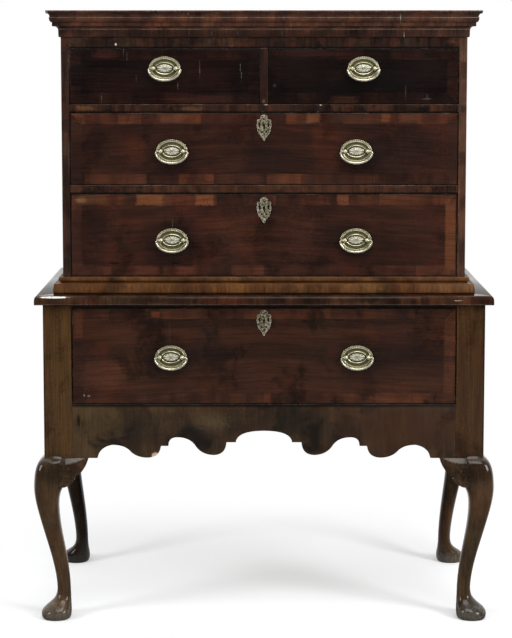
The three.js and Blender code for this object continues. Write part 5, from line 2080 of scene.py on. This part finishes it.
    def make_post(self, side: int) -> Piece:
        """One post with its shank, and the nut inside the drawer.

        Args:
            side: -1 on the left and 1 on the right.

        Returns:
            The piece.
        """
        points = [Vector((radius * MM, depth * MM, 0.0)) for radius, depth in self.post_rows]
        post = trace("post_pattern", points, fill=False)
        with bench(post, "EDGE"):
            bpy.ops.mesh.spin(steps=20, angle=2 * math.pi, center=ORIGIN, axis=(0, 1, 0))
        face_outwards(post, 2 * WELD)
        nut = new_primitive("nut_pattern", bpy.ops.mesh.primitive_cylinder_add, vertices=6,
                            radius=self.nut_radius, depth=self.nut_depth, rotation=(math.pi / 2, 0, 0),
                            location=(0, self.front_thickness + 1.9 * MM, 0))
        soften(nut, 0.5 * MM)
        both = join([post, nut], "post_pattern")
        set_tone(both, lambda place: 1.1 if place.y < -2.9 * MM else 0.25)
        with bench(both):
            move((side * self.post_spacing / 2, 0.0, 0.0))
        return both

    def make_bail(self) -> Piece:
        """Makes the bail: a bent wire that swells towards the grip.

        Returns:
            The bail.
        """
        pin = self.post_spacing / 2 - self.pin_inset
        right = [(pin, 0.0), *((out * self.bail_width / 2, -down * self.bail_drop)
                               for out, down in self.bail_rows)]
        points = [*right, (0.0, -self.bail_drop), *((-x, z) for x, z in reversed(right))]
        bpy.ops.object.select_all(action="DESELECT")
        bpy.ops.curve.primitive_bezier_curve_add(location=ORIGIN)
        curve = bpy.context.active_object.data
        places = curve.splines[0].bezier_points
        places.add(len(points) - 2)
        for place, (x, z) in zip(places, points):
            place.co = (x, -self.post_length, z)
            place.handle_left_type = place.handle_right_type = "AUTO"
            grip = min(1.0, -z / self.bail_drop) ** 1.4
            place.radius = (self.bail_thin + (self.bail_thick - self.bail_thin) * grip) / self.bail_thick
        curve.dimensions = "3D"
        curve.bevel_depth = self.bail_thick
        curve.bevel_resolution = 3
        curve.resolution_u = 6
        curve.use_fill_caps = True
        bpy.ops.object.convert(target="MESH")
        bail = bpy.context.active_object
        bail.name = "bail_pattern"
        face_outwards(bail, WELD)
        set_tone(bail, lambda place: 1.15 if place.z < -3 * MM else 0.8)
        return bail

    def build(self) -> None:
        """Makes the patterns and puts a copy on each drawer front."""
        plate = join([self.make_plate(), self.make_post(-1), self.make_post(1)], "plate_pattern")
        smooth(plate, 50.0)
        bail = self.make_bail()
        smooth(bail, 50.0)
        finishes: dict[str, tuple[Material, ...]] = {}
        for drawer, labels in HANDLES.items():
            stage = stage_of(drawer)
            if stage not in finishes:
                finishes[stage] = tuple(brass.material(self.effects, stage)
                                        for brass in (PLATE_BRASS, BAIL_BRASS))
            for label in labels:
                hinge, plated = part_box(f"handle_bail_{label}"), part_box(f"handle_plate_{label}")
                pivot = Vector(((hinge[0].x + hinge[1].x) / 2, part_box(f"drawer_front_{drawer}")[0].y,
                                (plated[0].z + plated[1].z) / 2))
                finish_piece(copy_to(plate, f"oval_plate_{label}", pivot), f"drawer_{drawer}",
                             "plate_brass", finishes[stage][0], f"handle_plate_{label}")
                finish_piece(copy_to(bail, f"bail_{label}", pivot), f"bail_{label}", "bail_brass",
                             finishes[stage][1], f"handle_bail_{label}")
        bpy.data.objects.remove(plate)
        bpy.data.objects.remove(bail)


@dataclass
class Escutcheons(Assembly):
    """The three pierced keyhole plates, modelled once and copied."""

    width: float = 35 * MM
    height: float = 63 * MM
    thickness: float = 1.3 * MM
    rim: float = 1.5 * MM
    sunk: float = 0.5 * MM
    arris: float = 0.35 * MM
    pin_radius: float = 1.3 * MM
    pin_flatness: float = 0.55
    keyhole_drop: float = 26 * MM
    side_tone: float = 0.1
    middle_tone: float = 0.62
    rim_tone: float = 1.4
    rows: Sequence[Row] = (
        (0, 1), (0.3, 0.98), (0.46, 0.93), (0.54, 0.875), (0.4, 0.85), (0.5, 0.825), (0.88, 0.82),
        (0.97, 0.75), (0.9, 0.685), (0.99, 0.63), (0.97, 0.52), (0.86, 0.46), (0.9, 0.39), (0.72, 0.33),
        (0.72, 0.27), (0.5, 0.24), (0.42, 0.17), (0.28, 0.15), (0.16, 0.07))
    windows: Sequence[Row] = (
        (0.60, 0.62, 2.5, 6.0), (0.30, 0.345, 2.1, 2.6), (0.68, 0.42, 1.5, 2.2), (0.55, 0.77, 2.2, 1.3),
        (0.0, 0.83, 2.0, 1.9), (0.0, 0.245, 1.5, 2.6))
    keyhole: Sequence[Row] = ((0.0, 3.2, 3.6), (5.0, 1.8, 5.2))
    pins: Sequence[Row] = ((0.0, 0.93), (0.84, 0.50), (-0.84, 0.50), (0.0, 0.13))

    def make_pattern(self) -> Piece:
        """Makes the plate with its outline, keyhole, windows and pins, with its top at the origin.

        Returns:
            The plate.
        """
        half = self.width / 2
        right = [(u * half, (v - 1) * self.height) for u, v in self.rows]
        points = [*right, (0.0, -self.height), *((-u, v) for u, v in reversed(right[1:]))]
        plate = trace("escutcheon_pattern", [Vector((x, 0.0, z)) for x, z in points])
        with bench(plate, "FACE"):
            extrude((0.0, -self.thickness, 0.0))
            bpy.ops.mesh.inset(thickness=self.rim)
            move((0.0, self.sunk, 0.0))
        face_outwards(plate)
        cutters = [self.oval_cutter(side * out * half, (up - 1) * self.height, across, tall)
                   for out, up, across, tall in self.windows for side in ((-1, 1) if out > 0 else (1,))]
        cutters += [self.oval_cutter(0.0, -self.keyhole_drop - down * MM, across, tall)
                    for down, across, tall in self.keyhole]
        for cutter in cutters:
            apply_modifier(plate, "BOOLEAN", object=cutter, operation="DIFFERENCE", solver="EXACT")
            bpy.data.objects.remove(cutter)
        soften(plate, self.arris, angle=40.0)
        pattern = join([plate, *(self.make_pin(out * half, (up - 1) * self.height)
                                 for out, up in self.pins)], "escutcheon_pattern")
        set_tone(pattern, self.brass_tone_at)
        smooth(pattern, 35.0)
        return pattern

    def make_pin(self, x: float, z: float) -> Piece:
        """The domed head of one pin.

        Args:
            x: Its place across.
            z: Its place up.

        Returns:
            The head.
        """
        dome = new_primitive("pin_pattern", bpy.ops.mesh.primitive_uv_sphere_add, segments=12, ring_count=8,
                             radius=self.pin_radius, location=(x, -self.thickness, z))
        with bench(dome):
            resize((1.0, self.pin_flatness, 1.0), (0.0, -self.thickness, 0.0))
        return dome

    def brass_tone_at(self, place: Vector) -> float:
        """How clean the plate is at a point: bright on its rim and pins, dirtier in the sunk middle.

        Args:
            place: The point.

        Returns:
            Its tone.
        """
        if place.y > -0.4 * self.thickness:
            return self.side_tone
        return self.rim_tone if place.y < 0.3 * self.sunk - self.thickness else self.middle_tone

    def oval_cutter(self, x: float, z: float, across: float, tall: float) -> Piece:
        """A rod of oval section through the plate.

        Args:
            x: Its place across.
            z: Its place up.
            across: Half its width in millimetres.
            tall: Half its height in millimetres.

        Returns:
            The rod.
        """
        rod = new_primitive("cutter", bpy.ops.mesh.primitive_cylinder_add, vertices=20, radius=1.0,
                            depth=6 * self.thickness, rotation=(math.pi / 2, 0, 0), location=(x, 0, z))
        with bench(rod):
            resize((across * MM, 1.0, tall * MM), (x, 0.0, z))
        return rod

    def build(self) -> None:
        """Puts a copy over each keyhole."""
        pattern = self.make_pattern()
        for label in LOCKED:
            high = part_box(f"escutcheon_{label}")[1]
            material = ESCUTCHEON_BRASS.material(self.effects, stage_of(label))
            copy = copy_to(pattern, f"pierced_escutcheon_{label}", Vector((0.0, high.y, high.z)))
            finish_piece(copy, f"drawer_{label}", "escutcheon_brass", material, f"escutcheon_{label}")
        bpy.data.objects.remove(pattern)


@dataclass
class Drawers(Assembly):
    """The five drawers: veneered fronts, oak frames and bottoms, and iron locks."""

    boards: Boards
    arris: float = 0.7 * MM
    front_bottom_shade: float = 2.2 * MM
    stand_front_bottom_shade: float = 3.5 * MM
    fronts: dict[str, Wood] = field(default_factory=lambda: {
        "short_left": SHORT_VENEER, "short_right": SHORT_VENEER, "upper_long": LONG_VENEER,
        "lower_long": LONG_VENEER, "stand": STAND_VENEER})

    def halos(self, label: str) -> list[Mark]:
        """The dark zones round the handles of one drawer, reaching further below and to the right of the
        plate than above it.

        Args:
            label: The drawer.

        Returns:
            Two marks for each handle.
        """
        marks = []
        for name in HANDLES[label]:
            low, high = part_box(f"handle_plate_{name}")
            x, _, z = (low + high) / 2
            depth = 0.3 if label.startswith("short") else 0.62
            marks.append(Mark(x + 4 * MM, z - 6 * MM, 74 * MM, 54 * MM, HALO, depth, 0.9, 0.12))
            marks.append(Mark(x + 2 * MM, z - 5 * MM, 43 * MM, 33 * MM, HALO, 0.7, 0.25, 0.1))
        return marks

    def build(self) -> None:
        """Finishes the drawers."""
        for place, (label, finish) in enumerate(self.fronts.items()):
            seed = 21.0 + 3.1 * place
            front = f"drawer_front_{label}"
            # Painted shadow: a dark line along the front's lower edge, in the gap below it.
            dirt = self.stand_front_bottom_shade if label == "stand" else self.front_bottom_shade
            dark = ((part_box(front)[0].z, dirt),)
            details = Details(seed, FRONT_FACE, dark=dark, marks=(*self.halos(label), *FRONT_MARKS[label]))
            self.boards.dress(front, finish, details, self.arris)
            self.boards.dress(f"drawer_frame_{label}", OAK, Details(seed + 1.0))
            self.boards.dress(f"drawer_bottom_{label}", BOTTOM_OAK, Details(seed + 2.0))
        iron = Iron().material(self.effects)
        for label in LOCKED:
            paint(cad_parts[f"lock_{label}"], iron)


def main() -> None:
    """Builds the scene, sub-assembly by sub-assembly."""
    logging.basicConfig(level=logging.INFO, format="%(message)s")
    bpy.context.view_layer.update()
    effects = Effects()
    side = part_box("upper_side_right")
    chest = (side[1].x, side[0].y, side[1].y)
    stand = (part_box("stand_side_right")[1].x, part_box("apron_front")[0].y, side[1].y)
    boards = Boards(effects)
    for label, assembly in (
        ("studio", Studio()),
        # The mouldings' dark lines are painted shade under them and in their hollows; their pale lines are
        # partly worn arrises and partly painted highlight.
        ("cornice", MitredMoulding(
            effects, "cornice", CORNICE_ROWS, "moulding_walnut", CORNICE_WALNUT, *chest,
            pale=(0.975, 0.735, 0.305), dark=(0.94,), marks=CORNICE_MARKS_AND_COVE_SHADE)),
        ("waist moulding", MitredMoulding(
            effects, "waist", WAIST_ROWS, "waist_walnut", WAIST_WALNUT, *chest, dark=(0.02,))),
        ("stand top moulding", MitredMoulding(
            effects, "stand_top", THUMB_ROWS, "moulding_walnut", STAND_MOULDING_WALNUT, *stand,
            seat=67 * MM, pale=(0.09,), dark=(0.0,), marks=THUMB_MARKS_AND_HIGHLIGHT)),
        ("boards and rails", boards),
        ("apron and side boards", ScallopedBoards(effects)),
        ("legs and knee brackets", CabrioleLegs(effects)),
        ("drawers", Drawers(effects, boards)),
        ("handles", Handles(effects)),
        ("escutcheons", Escutcheons(effects)),
    ):
        assembly.build()
        LOG.info("made %s", label)


if __name__ == "__main__":
    main()
